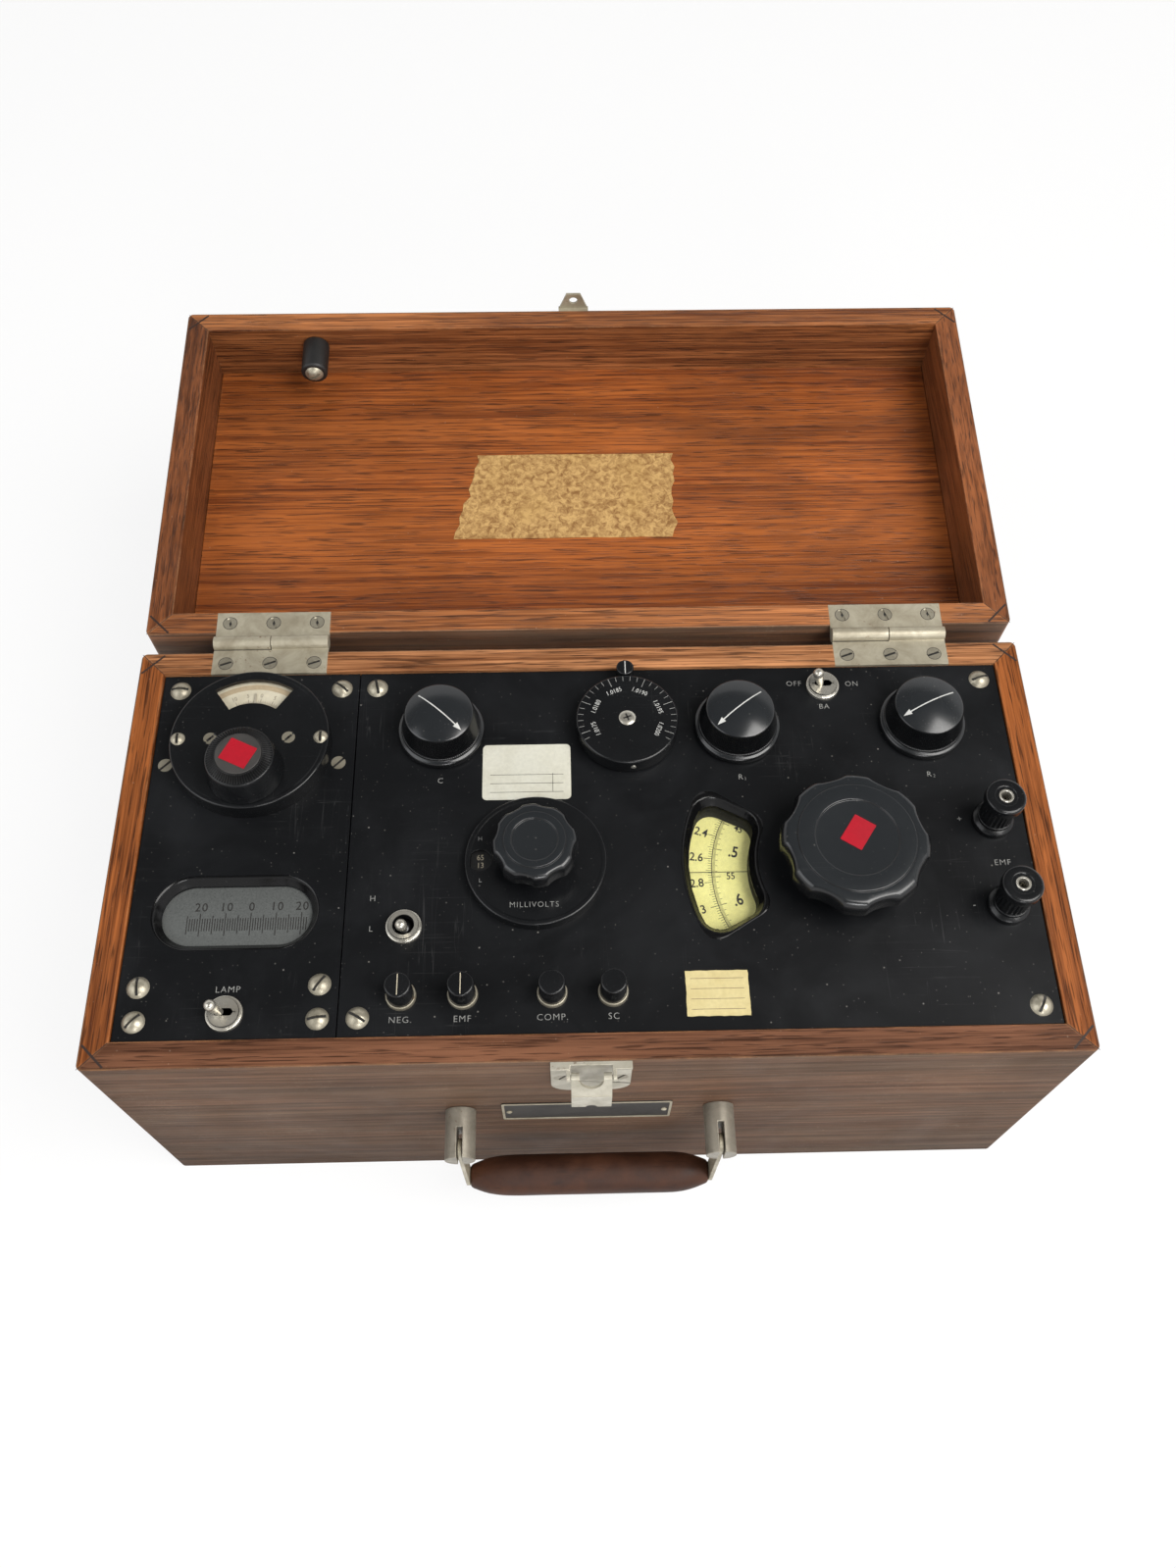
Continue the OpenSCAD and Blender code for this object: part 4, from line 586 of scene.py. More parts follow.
def bridged(bm, makers, place):
    # each maker draws one closed outline, and the outlines are bridged in turn, the last to the first
    part = bmesh.new()
    loops = []
    for draw in makers:
        before = set(part.edges)
        draw(part)
        loops.append([edge for edge in part.edges if edge not in before])
    bmesh.ops.delete(part, geom=list(part.faces), context="FACES_ONLY")
    for first, second in zip(loops, loops[1:] + loops[:1]):
        bmesh.ops.bridge_loops(part, edges=first + second)
    addPart(bm, part, place)


def stadium(size, z, inset=0.0):
    length, wide = (value - inset for value in size)
    return lambda part: roundedFace(part, length, wide, wide / 2, z, 20)


def kidney(shape, z, grow=0.0):
    # an arc window with round corners, its middle towards -X
    inner = shape[0] - grow
    outer, half, corner = (value + grow for value in shape[1:])
    nearTurn = half - math.degrees(math.asin(corner / (inner + corner)))
    farTurn = half - math.degrees(math.asin(corner / (outer - corner)))
    points = []

    def polar(radius, angle):
        return (radius * math.cos(math.radians(angle)), radius * math.sin(math.radians(angle)))

    def arc(middle, radius, start, end, count=6):
        for step in range(count + 1):
            x, y = polar(radius, start + (end - start) * step / count)
            points.append((middle[0] + x, middle[1] + y, z))

    arc((0, 0), outer, 180 - farTurn, 180 + farTurn, 24)
    arc(polar(outer - corner, 180 + farTurn), corner, 180 + farTurn, 180 + half + 90)
    arc(polar(inner + corner, 180 + nearTurn), corner, 180 + half + 90, 360 + nearTurn)
    arc((0, 0), inner, 180 + nearTurn, 180 - nearTurn, 24)
    arc(polar(inner + corner, 180 - nearTurn), corner, -nearTurn, 90 - half)
    arc(polar(outer - corner, 180 - farTurn), corner, 90 - half, 180 - farTurn)

    def draw(part):
        # neighbouring arcs share their end points
        ring = [part.verts.new(here) for here, after in zip(points, points[1:] + points[:1])
                if math.dist(here, after) > 0.0005]
        for pair in zip(ring, ring[1:] + ring[:1]):
            part.edges.new(pair)

    return draw


# Wooden case and lid

for node, look, body in (("case_front_board", "frontWood", "case"), ("case_rear_board", "rimWood", "case"),
                         ("case_side_boards", "rimWoodCross", "case"), ("lid_front_board", "lidWood", "lid"),
                         ("lid_rear_board", "lidWood", "lid"), ("lid_side_boards", "lidWoodCross", "lid"),
                         ("lid_top_board", "lidFloor", "lid")):
    softNode(node, look, body, "case_wood", 0.7)
print("case and lid")

# Solids that only get a finish

painted = dict(case_base_board="pineWood", panel_blocks="pineWood", galvanometer_scale="scaleCard",
               galvanometer_magnet="iron", galvanometer_coil="paleMetal", scale_glass="frostedScale",
               lamp_assembly="darkMetal", switch_bodies="darkMetal", neg_plunger="brightNickel",
               emf_plunger="brightNickel", rheostat_bodies="darkMetal", millivolt_deck="bakelite",
               millivolt_number_disc="softBlack", slidewire_base="bakelite", slidewire_dial="yellowDial",
               dial_window="clearPane", cells="cellWrap")
for node, look in painted.items():
    for slot in nodes[node].material_slots:
        setUp(slot, link="OBJECT", material=looks[look])
print("painted solids")

# Panels and the bevels round their windows

for node in ("galvanometer_panel", "main_panel"):
    softNode(node, "panelBlack", "case", "panel_black", 0.3)

ledge = 151.6
lip = 154.95
lipRings = ((0, -0.2), (0.5, 0), (1.3, -0.18), (2.2, -0.62), (3.0, -1.25))    # inset across, height
scaleWindow = dict(center=(-141.5, -30.2), top=(67.3, 32.5), low=(60.7, 25.9), spread=0.8)
top, low = scaleWindow["top"], scaleWindow["low"]
rings = [stadium(top, ledge), *(stadium(top, lip + drop, inset) for inset, drop in lipRings),
         stadium(low, ledge + 0.5, -scaleWindow["spread"]), stadium(low, ledge)]
makePiece("scaleWindowBevel", [(bridged, rings, at(*scaleWindow["center"]))], "windowLip", "case",
          (), 60)

# shapes are inner and outer radius, half the angle and the corners' radius
slidewire = dict(center=(107.5, -12.0), window=(37.0, 68.7, 32.0, 7.0), corner=11.0,
                 low=(40.4, 65.2, 28.4, 7.4), skirt=(40.2, 64.8, 27.0, 7.0), skirtLow=144.2)
cut, low, skirt = slidewire["window"], slidewire["low"], slidewire["skirt"]
rim = cut[:3] + (slidewire["corner"],)
rings = [kidney(cut, ledge), kidney(cut, lip - 0.1), kidney(cut, lip, -0.1),
         *(kidney(rim, lip + drop, -0.2 - inset / 2) for inset, drop in lipRings[1:]),
         kidney(low, ledge + 0.5, 0.4), kidney(low, ledge)]
wall = [kidney(low, ledge, 0.5), kidney(low, ledge), kidney(skirt, slidewire["skirtLow"]),
        kidney(skirt, slidewire["skirtLow"], 0.5)]
for name, makers, look in (("dialWindowBevel", rings, "windowLip"), ("dialWindowSkirt", wall, "pitBlack")):
    makePiece(name, [(bridged, makers, at(*slidewire["center"]))], look, "case", (), 60)
print("panels")

# Galvanometer


def coverRim(name, center, inner, outer, wall, top):
    # the rounded edge of a moulded cover
    profile = [(inner, top - 0.8), (inner, top - 0.17), (inner + 0.6, top, 0.3), (outer, top, 1.0),
               (outer, 0.02), (wall, 0.02), (wall, top - 1.2), (inner, top - 0.8)]
    makePiece(name, [(turned, profile, 144, at(*center, panelTop))], "knobBlack", "case", (), 40)


meter = dict(center=(-141.4, 45.8), cardTop=160.23, zero=84.0, pitch=2.9, sides=(56, 124), foot=18.6,
             numbers=23.4, reach={10: 21.6, 2: 20.8, 1: 20.2}, width={10: 0.22, 1: 0.14},
             band=(26.4, 28.9, 55, 125), pane=(16.9, 29.9, 53, 127), paneLow=161.0)
softNode("galvanometer_cover", "knobBlack", "case", "panel_black", 0.5, 3)
coverRim("galvanometerRim", meter["center"], 31.2, 33.6, 33.1, 9.2)
marks = []
for step in range(-20, 24):
    turn = meter["zero"] - meter["pitch"] * step / 2
    if meter["sides"][0] < turn < meter["sides"][1]:
        marks.append((radial, meter["center"], turn, meter["foot"], graded(step, meter["reach"]),
                      graded(step, meter["width"]), meter["cardTop"]))
        if step % 10 == 0:
            place = spoke(meter["center"], turn, meter["numbers"], meter["cardTop"]) @ rotation(-90, "Z")
            marks.append((letters, str(abs(step) // 2), 2.0, place, 0.9, -0.01))
makePiece("meterMarks", marks, "inkBrown", "case")
band = (sector, *meter["band"], 0.04, at(*meter["center"], meter["cardTop"]))
makePiece("meterBand", [band], "scaleBand", "case")
pane = (sector, *meter["pane"], 0.8, at(*meter["center"], meter["paneLow"]))
makePiece("meterPane", [pane], "clearPane", "case")

zeroKnob = dict(center=(-141.4, 29.8), teeth=72, depth=0.35, toothed=(10.1, 13.6), mark=(12.2, 10.5),
                markTurn=-26.4)


def zeroRipple(angle, radius, height):
    inner, outer = zeroKnob["toothed"]
    if not inner < radius < outer or height < 21.4:
        return radius, height
    return radius, height - zeroKnob["depth"] * (1 + math.cos(zeroKnob["teeth"] * angle))


place = at(*zeroKnob["center"], panelTop)
skirt = [(0, 9.3), (16.1, 9.3, 0.2), (15.8, 10.6, 0.6), (14.3, 20.6, 0.6), (13.8, 21.5, 0.4), (13.2, 21.6),
         (0, 21.6)]
crown = [(0, 21.3), (13.5, 21.3), (13.5, 21.7), (12.9, 22.1), (11.6, 22.75), (10.4, 23.3), (10.1, 23.35),
         (9.65, 23.35), (9.6, 22.9), (0, 22.9)]
insert = [(0, 22.8), (9.5, 22.8), (9.5, 23.7, 0.3), (0, 23.75)]
mark = (roundedSlab, *zeroKnob["mark"], 0.3, 23.7, 23.95, place @ rotation(zeroKnob["markTurn"], "Z"))
makePiece("zeroKnob.turned", [(turned, skirt, 128, place), (turned, rod(3, 1, 9.4), 32, place)], "knobBlack",
          "zero", ("zero_knob",), 30)
makePiece("zeroKnurl", [(turned, crown, 6 * zeroKnob["teeth"], place, zeroRipple)], "knurlBlack", "zero",
          (), 24)
makePiece("zeroInsert", [(turned, insert, 64, place)], "greyInsert", "zero")
makePiece("zeroMark", [mark], "redInsert", "zero")
print("galvanometer")

# Lamp scale

lampScale = dict(zero=-136.2, pitch=1.02, row=-33.5, numbers=-26.0, z=150.22, first=-25, last=22,
                 length={10: 9.8, 5: 8.0, 1: 5.4}, width=0.36)
marks = []
for step in range(lampScale["first"], lampScale["last"] + 1):
    x = lampScale["zero"] + step * lampScale["pitch"]
    tick = at(x, lampScale["row"], lampScale["z"])
    marks.append((bar, lampScale["width"], graded(step, lampScale["length"]), tick, 0.04))
    if step % 10 == 0:
        spot = at(x, lampScale["numbers"], lampScale["z"])
        marks.append((letters, str(abs(step)), 3.8, spot, 0.95, 0.004, 1.15))
makePiece("lampScaleMarks", marks, "inkBlack", "case")

# Toggle switches

# place and turn of each
toggles = dict(lamp=((-141.3, -72.9), 0), battery=((106.0, 73.1), 0), range=((-73.6, -38.0), 90))
toggle = dict(pivot=-2.6, tilt=-14, neck=(11.8, 11.8), slot=(7.4, 3.0), hole=(8.8, 8.8), low=2.5, high=2.75)
nut = [(6.05, 0), (7.2, 0), (7.2, 1.3, 0.3), (6.7, 1.5, 0.15), (6.6, 1.95, 0.15), (6.05, 1.95), (6.05, 0)]
bat = [(0, 3.3), (1.62, 3.3), (1.55, 5.5), (1.7, 8.0), (2.05, 10.5), (2.3, 12.6), (2.28, 13.6), (2.0, 14.5),
       (1.4, 15.1), (0.7, 15.42), (0, 15.5)]
ball = [(0, -3.9), (2.2, -3.2), (3.4, -1.9), (3.9, 0), (3.4, 1.9), (2.2, 3.2), (1.6, 3.6), (0, 3.6)]
nuts = []
necks = []
for name, (spot, turn) in toggles.items():
    place = at(*spot, panelTop, turn)
    opening = toggle["hole" if name == "range" else "slot"]
    nuts.append((turned, nut, 48, place))
    necks.append((bridged, [stadium(toggle["neck"], toggle["low"]), stadium(toggle["neck"], toggle["high"]),
                            stadium(opening, toggle["high"]), stadium(opening, toggle["low"])], place))
    tilt = place @ Matrix.Translation((0, 0, toggle["pivot"])) @ rotation(toggle["tilt"], "Y")
    pin = (turned, rod(1, -5.2, 5.2), 16, tilt @ rotation(90, "X"))
    makePiece(name + "_toggle.bat", [(turned, bat, 32, tilt)], "brightNickel", name + "_lever",
              (name + "_toggle",), 50)
    makePiece(name + "_toggle.ball", [(turned, ball, 32, tilt), pin], "darkMetal", name + "_lever",
              (), 50)
makePiece("panelNuts.turned", nuts, "brightNickel", "case", ("panel_nuts",), 30)
makePiece("toggleNecks", necks, "brightNickel", "case")

# Keys

keys = dict(row=-67.0, neg=-73.5, emf=-49.5, comp=-14.6, sc=9.2)
keyPlaces = {name: at(keys[name], keys["row"], panelTop) for name in ("neg", "emf", "comp", "sc")}
ferrule = [(5.3, 0), (6.0, 0), (6.0, 1.6, 0.3), (5.7, 2.2, 0.2), (5.3, 2.2), (5.3, 0)]
makePiece("keyFerrules", [(turned, ferrule, 48, place) for place in keyPlaces.values()], "nickel", "case",
          (), 30)
for name, place in keyPlaces.items():
    locking = name in ("neg", "emf")
    parts = [(turned, [(0, -0.5), (5.2, -0.5), (5.2, 13.5, 0.9), (0, 13.3)], 64, place)]
    if not locking:
        parts.append((turned, rod(2, -21.8, -0.4), 24, place))
    makePiece(name + "Key.turned", parts, "knobBlack", name + "_button", (name + "_key",), 30)
    if locking:
        mark = (bar, 0.34, 8.4, place @ at(0, 0, 13.36), 0.16)
        makePiece(name + "Mark", [mark], "paintWarm", name + "_button")
print("switches and keys")

# Rheostat knobs and the standard dial

# place, turn of the arrow, length of the shaft
knobs = dict(c=((-61.0, 52.5), -43.0, 21.8), r1=((66.5, 52.5), 219.0, 31.5), r2=((147.0, 53.0), 206.0, 31.5))
knob = dict(ribs=120, ribDepth=0.22, domeTop=18.7, domeFall=0.0138, shaft=3.175, shaftTop=3.4, shaftFrom=7.0)
arrow = dict(length=24.0, width=0.5, head=3.4, half=1.3, over=1.2, lift=0.08)


def ribRipple(angle, radius, height):
    if radius < 14.4 or not 5.0 < height < 15.8:
        return radius, height
    return radius - knob["ribDepth"] * (1 + math.cos(knob["ribs"] * angle)), height


def domeHeight(radius):
    return knob["domeTop"] - knob["domeFall"] * radius ** 2


def domeArrow(bm, place):
    part = bmesh.new()
    stem = Matrix.Diagonal((arrow["length"], arrow["width"], 1, 1))
    bmesh.ops.create_grid(part, x_segments=12, y_segments=1, size=0.5, matrix=stem)
    tip = arrow["length"] / 2 + arrow["over"]
    for vert in bmesh.ops.create_circle(part, cap_ends=True, segments=3, radius=1.0)["verts"]:
        forward = vert.co.y > 0.5
        side = 0 if forward else math.copysign(arrow["half"], vert.co.x)
        vert.co = (tip if forward else tip - arrow["head"], side, 0)
    for vert in part.verts:
        vert.co.z = domeHeight(vert.co.to_2d().length) + arrow["lift"]
    thicken(part, 0.05)
    addPart(bm, part, place)


hollow = [(0, 3.3), (6.5, 3.3), (6.5, 0.8)]    # below a knob
side = [(18.5, 0.8, 0.3), (18.5, 3.4, 0.7), (16.9, 4.1, 0.4), (16.7, 5.2, 0.3), (14.7, 15.3, 0.3),
        (14.6, 15.5, 0.1), (14.1, 15.96, 0.4)]
dome = [(radius, round(domeHeight(radius), 2)) for radius in (12, 10, 8, 6, 4, 2, 0)]
for name, (spot, turn, length) in knobs.items():
    place = at(*spot, panelTop)
    shaft = rod(knob["shaft"], knob["shaftFrom"] - length, knob["shaftTop"])
    parts = [(turned, hollow + side + dome, 4 * knob["ribs"], place, ribRipple), (turned, shaft, 32, place)]
    makePiece(name + "Knob.turned", parts, "dustyKnob", name + "_control", (name + "_knob",), 30)
    makePiece(name + "Arrow", [(domeArrow, place @ rotation(turn, "Z"))], "paintWhite", name + "_control")

standard = dict(center=(18.8, 52.8), top=9.0, first=200.8, pitch=44.72, start=1.0175, step=0.0005,
                sides=(-36, 216), foot={5: 17.0, 1: 18.8}, rim=21.1, width={5: 0.26, 1: 0.2},
                numbers=14.4, cross=(20, 110))
place = at(*standard["center"], panelTop)
side = [(21.7, 0.8, 0.3), (22, 1.4, 0.3), (22, 8.3, 0.5), (21.3, 9.0, 0.4), (0, 9.0)]
shaft = rod(knob["shaft"], -14.8, knob["shaftTop"])
makePiece("standardDial.turned", [(turned, hollow + side, 128, place), (turned, shaft, 32, place)], "knobBlack",
          "standard_control", ("standard_dial",), 30)
head = [(0, 8.9), (3.65, 8.9), (3.65, 9.3, 0.2), (2.4, 9.85, 0.8), (0, 9.85)]
grub = [(0, -0.3), (1.1, -0.3), (1.1, 0.12, 0.1), (0, 0.12)]
grubPlace = place @ Matrix.Translation((2.0, -21.95, 5.0)) @ rotation(90, "X")
makePiece("standardScrew", [(turned, head, 40, place), (turned, grub, 16, grubPlace)], "brightNickel",
          "standard_control")
# painted shade: black bars on the flat head stand in for its cross slot
cross = [(bar, 3.6, 0.75, place @ at(0, 0, 9.84, turn), 0.06) for turn in standard["cross"]]
makePiece("standardScrewCross", cross, "inkBlack", "standard_control")
numbers = []
ticks = []
markZ = panelTop + standard["top"] + 0.02
for step in range(-1, 28):
    turn = standard["first"] - standard["pitch"] * step / 5
    if standard["sides"][0] < turn < standard["sides"][1]:
        ticks.append((radial, standard["center"], turn, graded(step, standard["foot"]), standard["rim"],
                      graded(step, standard["width"]), markZ))
        if step % 5 == 0:
            text = "%.4f" % (standard["start"] + standard["step"] * step / 5)
            spot = spoke(standard["center"], turn, standard["numbers"], markZ) @ rotation(-90, "Z")
            numbers.append((letters, text, 2.2, spot, 0.84, -0.006, 1.05))
makePiece("standardNumbers", numbers, "paintWhite", "standard_control")
makePiece("standardTicks", ticks, "paintDim", "standard_control")

indexPost = dict(center=(18.8, 78.9), top=9.0, mark=(0.4, 6.4))
place = at(*indexPost["center"], panelTop)
post = [(0, -4.8), (1.9, -4.8), (1.9, 0), (3.8, 0), (3.8, indexPost["top"], 0.6), (0, indexPost["top"])]
makePiece("indexPost.turned", [(turned, post, 48, place)], "knobBlack", "case",
          ("dial_index",), 30)
mark = (bar, *indexPost["mark"], place @ at(0, -0.2, indexPost["top"]), 0.05)
makePiece("indexMark", [mark], "paintWhite", "case")
print("knobs and dials")

# Millivolt switch

millivolt = dict(center=(-20.7, -11.3), window=-22.6, discTop=2.62, positions=16, first=13, height=2.5)
softNode("millivolt_cover", "knobBlack", "case", "knob_black", 0.4, 3)
coverRim("millivoltRim", millivolt["center"], 26.6, 28.95, 28.5, 5.2)
marks = []
for step in range(millivolt["positions"]):
    turn = 360 / millivolt["positions"] * step
    place = at(*millivolt["center"], panelTop + millivolt["discTop"], turn) @ at(millivolt["window"], 0)
    number = (millivolt["first"] + step) % millivolt["positions"]
    marks.append((letters, str(5 * number), millivolt["height"], place @ at(0, 2.1), 0.9))
    marks.append((letters, str(number), millivolt["height"], place @ at(0, -1.4), 0.9))
makePiece("millivoltNumbers", marks, "paintWarm", "millivolt_control")

# Lobed knobs: flutes in shares of the rim, hub and shaft as radius and lower end

flute = dict(count=8, radius=0.62, reach=1.55)


def lobedKnob(name, center, rim, low, high, lobeTurn, ring, hub, shaft):
    inner, outer = ring
    start = outer + 0.9

    def ripple(angle, radius, height):
        # round flutes, deepest half way between the lobes
        pitch = 2 * math.pi / flute["count"]
        offset = (angle - math.radians(lobeTurn)) % pitch - pitch / 2
        inside = (flute["radius"] * rim) ** 2 - (flute["reach"] * rim * math.sin(offset)) ** 2
        share = (radius - start) / (rim - start)
        if inside <= 0 or share <= 0:
            return radius, height
        near = flute["reach"] * rim * math.cos(offset) - math.sqrt(inside)
        return radius * (1 - min(1.0, share) * max(0.0, 1 - near / rim)), height

    place = at(*center, panelTop)
    shell = [(0, low), (0.94 * rim, low), (rim, low + 0.9, 0.5), (rim, high - 3.0, 1.4),
             (0.94 * rim, high - 0.2, 1.4), (start, high, 0.3), (outer + 0.25, high - 0.05, 0.15),
             (outer, high + 0.75, 0.3), (inner + 0.3, high + 0.75, 0.3), (inner, high + 0.1, 0.2),
             (0, high + 0.1)]
    parts = [(turned, shell, 320, place, ripple), (turned, rod(*hub, low + 0.5), 64, place),
             (turned, rod(*shaft, hub[1] + 0.5), 32, place)]
    makePiece(name + "Knob.lobed", parts, "dustyKnob", name + "_control", (name + "_knob",), 34)


lobedKnob("millivolt", millivolt["center"], rim=17.4, low=14, high=23, lobeTurn=8, ring=(9.1, 12.3),
          hub=(7.5, 2.6), shaft=(3.175, -16.8))
lobedKnob("slidewire", slidewire["center"], rim=30.2, low=12, high=21.5, lobeTurn=38, ring=(16.6, 23.6),
          hub=(14, 0.8), shaft=(4.0, -26.5))
slideMark = dict(size=(9.5, 12.95), place=(0.6, 2.2), turn=-33.8, low=21.55, high=21.85)
place = at(*slidewire["center"], panelTop) @ at(*slideMark["place"], 0, slideMark["turn"])
mark = (roundedSlab, *slideMark["size"], 0.3, slideMark["low"], slideMark["high"], place)
makePiece("slidewireMark", [mark], "redInsert", "slidewire_control")

# Slidewire dial: the value of a step, what is read at the hairline, and degrees for each unit

reads = dict(zero=180.3, z=143.52, rail=55.0)
outerRow = dict(step=0.02, steps=range(20, 251), read=2.74, pitch=56.15, ends={10: 58.4, 5: 57.4, 1: 56.6},
                width={10: 0.26, 1: 0.18})
innerRow = dict(step=0.002, steps=range(40, 506), read=0.547, pitch=274.0, ends={25: 51.4, 5: 52.6, 1: 53.6},
                width={25: 0.26, 1: 0.16})
center = slidewire["center"]


def dialNumber(text, height, turn, reach, squeeze, bold):
    return (letters, text, height, spoke(center, turn, reach, reads["z"]) @ rotation(180, "Z"), squeeze, bold)


marks = []
for row in (outerRow, innerRow):
    for step in row["steps"]:
        value = row["step"] * step
        turn = reads["zero"] + (value - row["read"]) * row["pitch"]
        ends = sorted((reads["rail"], graded(step, row["ends"])))
        marks.append((radial, center, turn, *ends, graded(step, row["width"]), reads["z"]))
        if row is outerRow and step % 10 == 0:
            marks.append(dialNumber("%g" % round(value, 1), 3.9, turn, 61.6, 0.9, 0.014))
        elif row is innerRow and step % 50 == 0:
            marks.append(dialNumber(("%g" % round(value, 1)).lstrip("0"), 5.2, turn, 46.4, 0.8, 0.02))
        elif row is innerRow and step % 25 == 0:
            marks.append(dialNumber(("%.2f" % value)[2:], 3.2, turn, 47.2, 0.85, 0.012))
marks.append((sector, reads["rail"] - 0.1, reads["rail"] + 0.15, 54, 308, 0.04, at(*center, reads["z"])))
makePiece("dialMarks", marks, "inkBlack", "slidewire_control")
hairline = dict(size=(25.6, 0.3), place=(54.8, -12.5, 146.92))
makePiece("dialHairline", [(bar, *hairline["size"], at(*hairline["place"]), 0.06)], "inkBlack", "case")
print("millivolt switch and slidewire")

# Binding posts

posts = dict(plus=(170.0, 5.2), minus=(170.0, -33.5))
grooves = dict(count=22, depth=0.5, wall=(6.4, 6.75))
flange = [(3.05, 0), (8.6, 0), (8.6, 2.6, 0.5), (6.4, 4.0, 0.6), (3.05, 4.0), (3.05, 0)]
stud = [(0, 4.5), (2.05, 4.5), (2.05, 22.2), (2.3, 22.5), (2.8, 22.5), (3.0, 22.3), (3.0, -10.3), (0, -10.3)]
stay = [(2.99, -7.3), (5.5, -7.3), (5.5, -4.8), (2.99, -4.8), (2.99, -7.3)]
collar = [(3.05, 4.3), (7.2, 4.3, 0.2), (7.2, 5.8, 0.4), (3.05, 5.8), (3.05, 4.3)]
cap = [(3.05, 6.1), (6.7, 6.1), (6.7, 6.6), (6.7, 16.6), (6.9, 17.2), (8.2, 17.5, 0.3), (8.2, 21.6, 0.6),
       (7.2, 22.2, 0.4), (4.6, 22.2, 0.2), (4.3, 21.9), (3.05, 21.9), (3.05, 6.1)]


def capRipple(angle, radius, height):
    inner, outer = grooves["wall"]
    if inner < radius < outer:
        radius -= grooves["depth"] * (0.5 + 0.5 * math.cos(grooves["count"] * angle))
    return radius, height


studs = []
flanges = []
for name, spot in posts.items():
    place = at(*spot, panelTop)
    flanges.append((turned, flange, 64, place))
    studs += [(turned, stud, 48, place), (turned, stay, 6, place)]
    makePiece(name + "Collar.turned", [(turned, collar, 64, place)], "knobBlack", name + "_washer",
              (name + "_collar",), 30)
    makePiece(name + "Cap.turned", [(turned, cap, 176, place, capRipple)], "knobBlack", name + "_nut",
              (name + "_cap",), 30)
makePiece("postStuds", studs, "brightNickel", "case", ("post_bases",), 30)
makePiece("postFlanges", flanges, "knobBlack", "case", (), 30)
print("binding posts")

# Hinges, latch and screws

for hardware in (("hinge_lower_leaves", "leafNickel", "case", "nickel", 0.25),
                 ("hinge_upper_leaves", "leafNickel", "lid", "nickel", 0.25),
                 ("latch_plate", "latchNickel", "case", "nickel", 0.25),
                 ("latch_lever", "latchNickel", "latch", "nickel", 0.25),
                 ("lid_keeper", "leafNickel", "lid", "nickel", 0.2),
                 ("lid_bumper", "softBlack", "lid", "rubber_black", 1.2, 3),
                 ("case_screws", "nickel", "case", "nickel", 0.12),
                 ("lid_screws", "nickel", "lid", "nickel", 0.12),
                 ("handle_studs", "studNickel", "case", "nickel", 0.4),
                 ("handle_tangs", "leafNickel", "handle", "nickel", 0.3)):
    softNode(*hardware)

# Painted shadow at the bottom of every screw slot, and a ring of painted shade round the sunk heads

screws = dict(rows=((-176, 75.5), (-176, -75.5), (-176, -61.5), (-105.45, 75.5), (-105.45, -75.5),
                    (-105.45, -61.5), (-89.95, 75.5), (-89.95, -75.5), (176, 75.5), (176, -75.5)), turn=47,
              slotLow=1.4, sunk=0.53, slot=(5.4, 0.95), leafX=138.2, leafPitch=19.5, leafY=89.0)
caseRim, lidRim = 156.0, 156.4    # the faces of the case and of the shut lid that meet
# a thin black ring of painted shade round each sunk head
sunkHeadShade = ((3.02, 0), (3.26, 0), (3.26, 0.03), (3.02, 0.03), (3.02, 0))
slot, sunk = screws["slot"], screws["sunk"]
x, y = meter["center"]
slots = [(bar, 7.4, 0.95, at(*spot, panelTop + screws["slotLow"], screws["turn"] * index), 0.35)
         for index, spot in enumerate(screws["rows"])]
lidSlots = []
for side in (-1, 1):
    slots.append((bar, 4.6, 0.95, at(x + side * 30.1, y, panelTop + 9.6, 90), 0.25))
    slots += [(bar, 3.6, 0.9, at(x + side * 16.5, y, panelTop + 8.75, turn), 0.22) for turn in (45, 135)]
    slots.append((bar, *slot, at(x + side * 36.7, 38.2, panelTop - sunk, 45), 0.2))
    for step in (-1, 0, 1):
        spot = (side * screws["leafX"] + step * screws["leafPitch"], screws["leafY"])
        slots.append((bar, *slot, at(*spot, caseRim - sunk, 20), 0.2))
        slots.append((turned, sunkHeadShade, 32, at(*spot, caseRim)))
        lidSlots.append((bar, *slot, lidSwing @ at(*spot, lidRim + sunk - 0.2, -70), 0.2))
        lidSlots.append((turned, sunkHeadShade, 32, lidSwing @ at(*spot, lidRim - 0.03)))
    latchScrew = Matrix.Translation((side * 11.5, -95.5, 139.0)) @ rotation(90, "X") @ rotation(60, "Z")
    slots.append((bar, *slot, latchScrew, 0.2))
makePiece("screwSlots", slots, "inkBlack", "case")
makePiece("lidScrewSlots", lidSlots, "inkBlack", "lid")

# Leather grip

grip = dict(y=-110.5, z=38.0, seam=0.35, wave=0.06)
half = [(0, -53.4), (4.2, -53.4, 0.5), (5.2, -52.6, 0.6), (7.0, -48.0, 2.0), (8.2, -43.6, 2.0),
        (8.85, -38.4, 2.0), (9.0, -32.0, 2.0)]
middle = [(9.0, height) for height in (-16.0, 0.0, 16.0)]
mirrored = [(point[0], -point[1]) + point[2:] for point in half[::-1]]


def gripRipple(angle, radius, height):
    # a butted seam along the back, and a slight unevenness along the roll
    seam = max(0.0, (math.cos(angle - math.pi / 2) - 0.985) / 0.015) if radius > 3 else 0.0
    wave = math.sin(0.19 * height + 2.0 * math.cos(angle)) if radius > 8 else 0.0
    return radius - grip["seam"] * seam + grip["wave"] * (wave - 1), height


place = Matrix.Translation((0, grip["y"], grip["z"])) @ rotation(90, "Y")
makePiece("gripRoll", [(turned, half + middle + mirrored, 96, place, gripRipple)], "gripLeather", "handle",
          ("handle_grip",), 50)
print("hardware and grip")

# Paper, tape and the bare plate

random.seed(4)


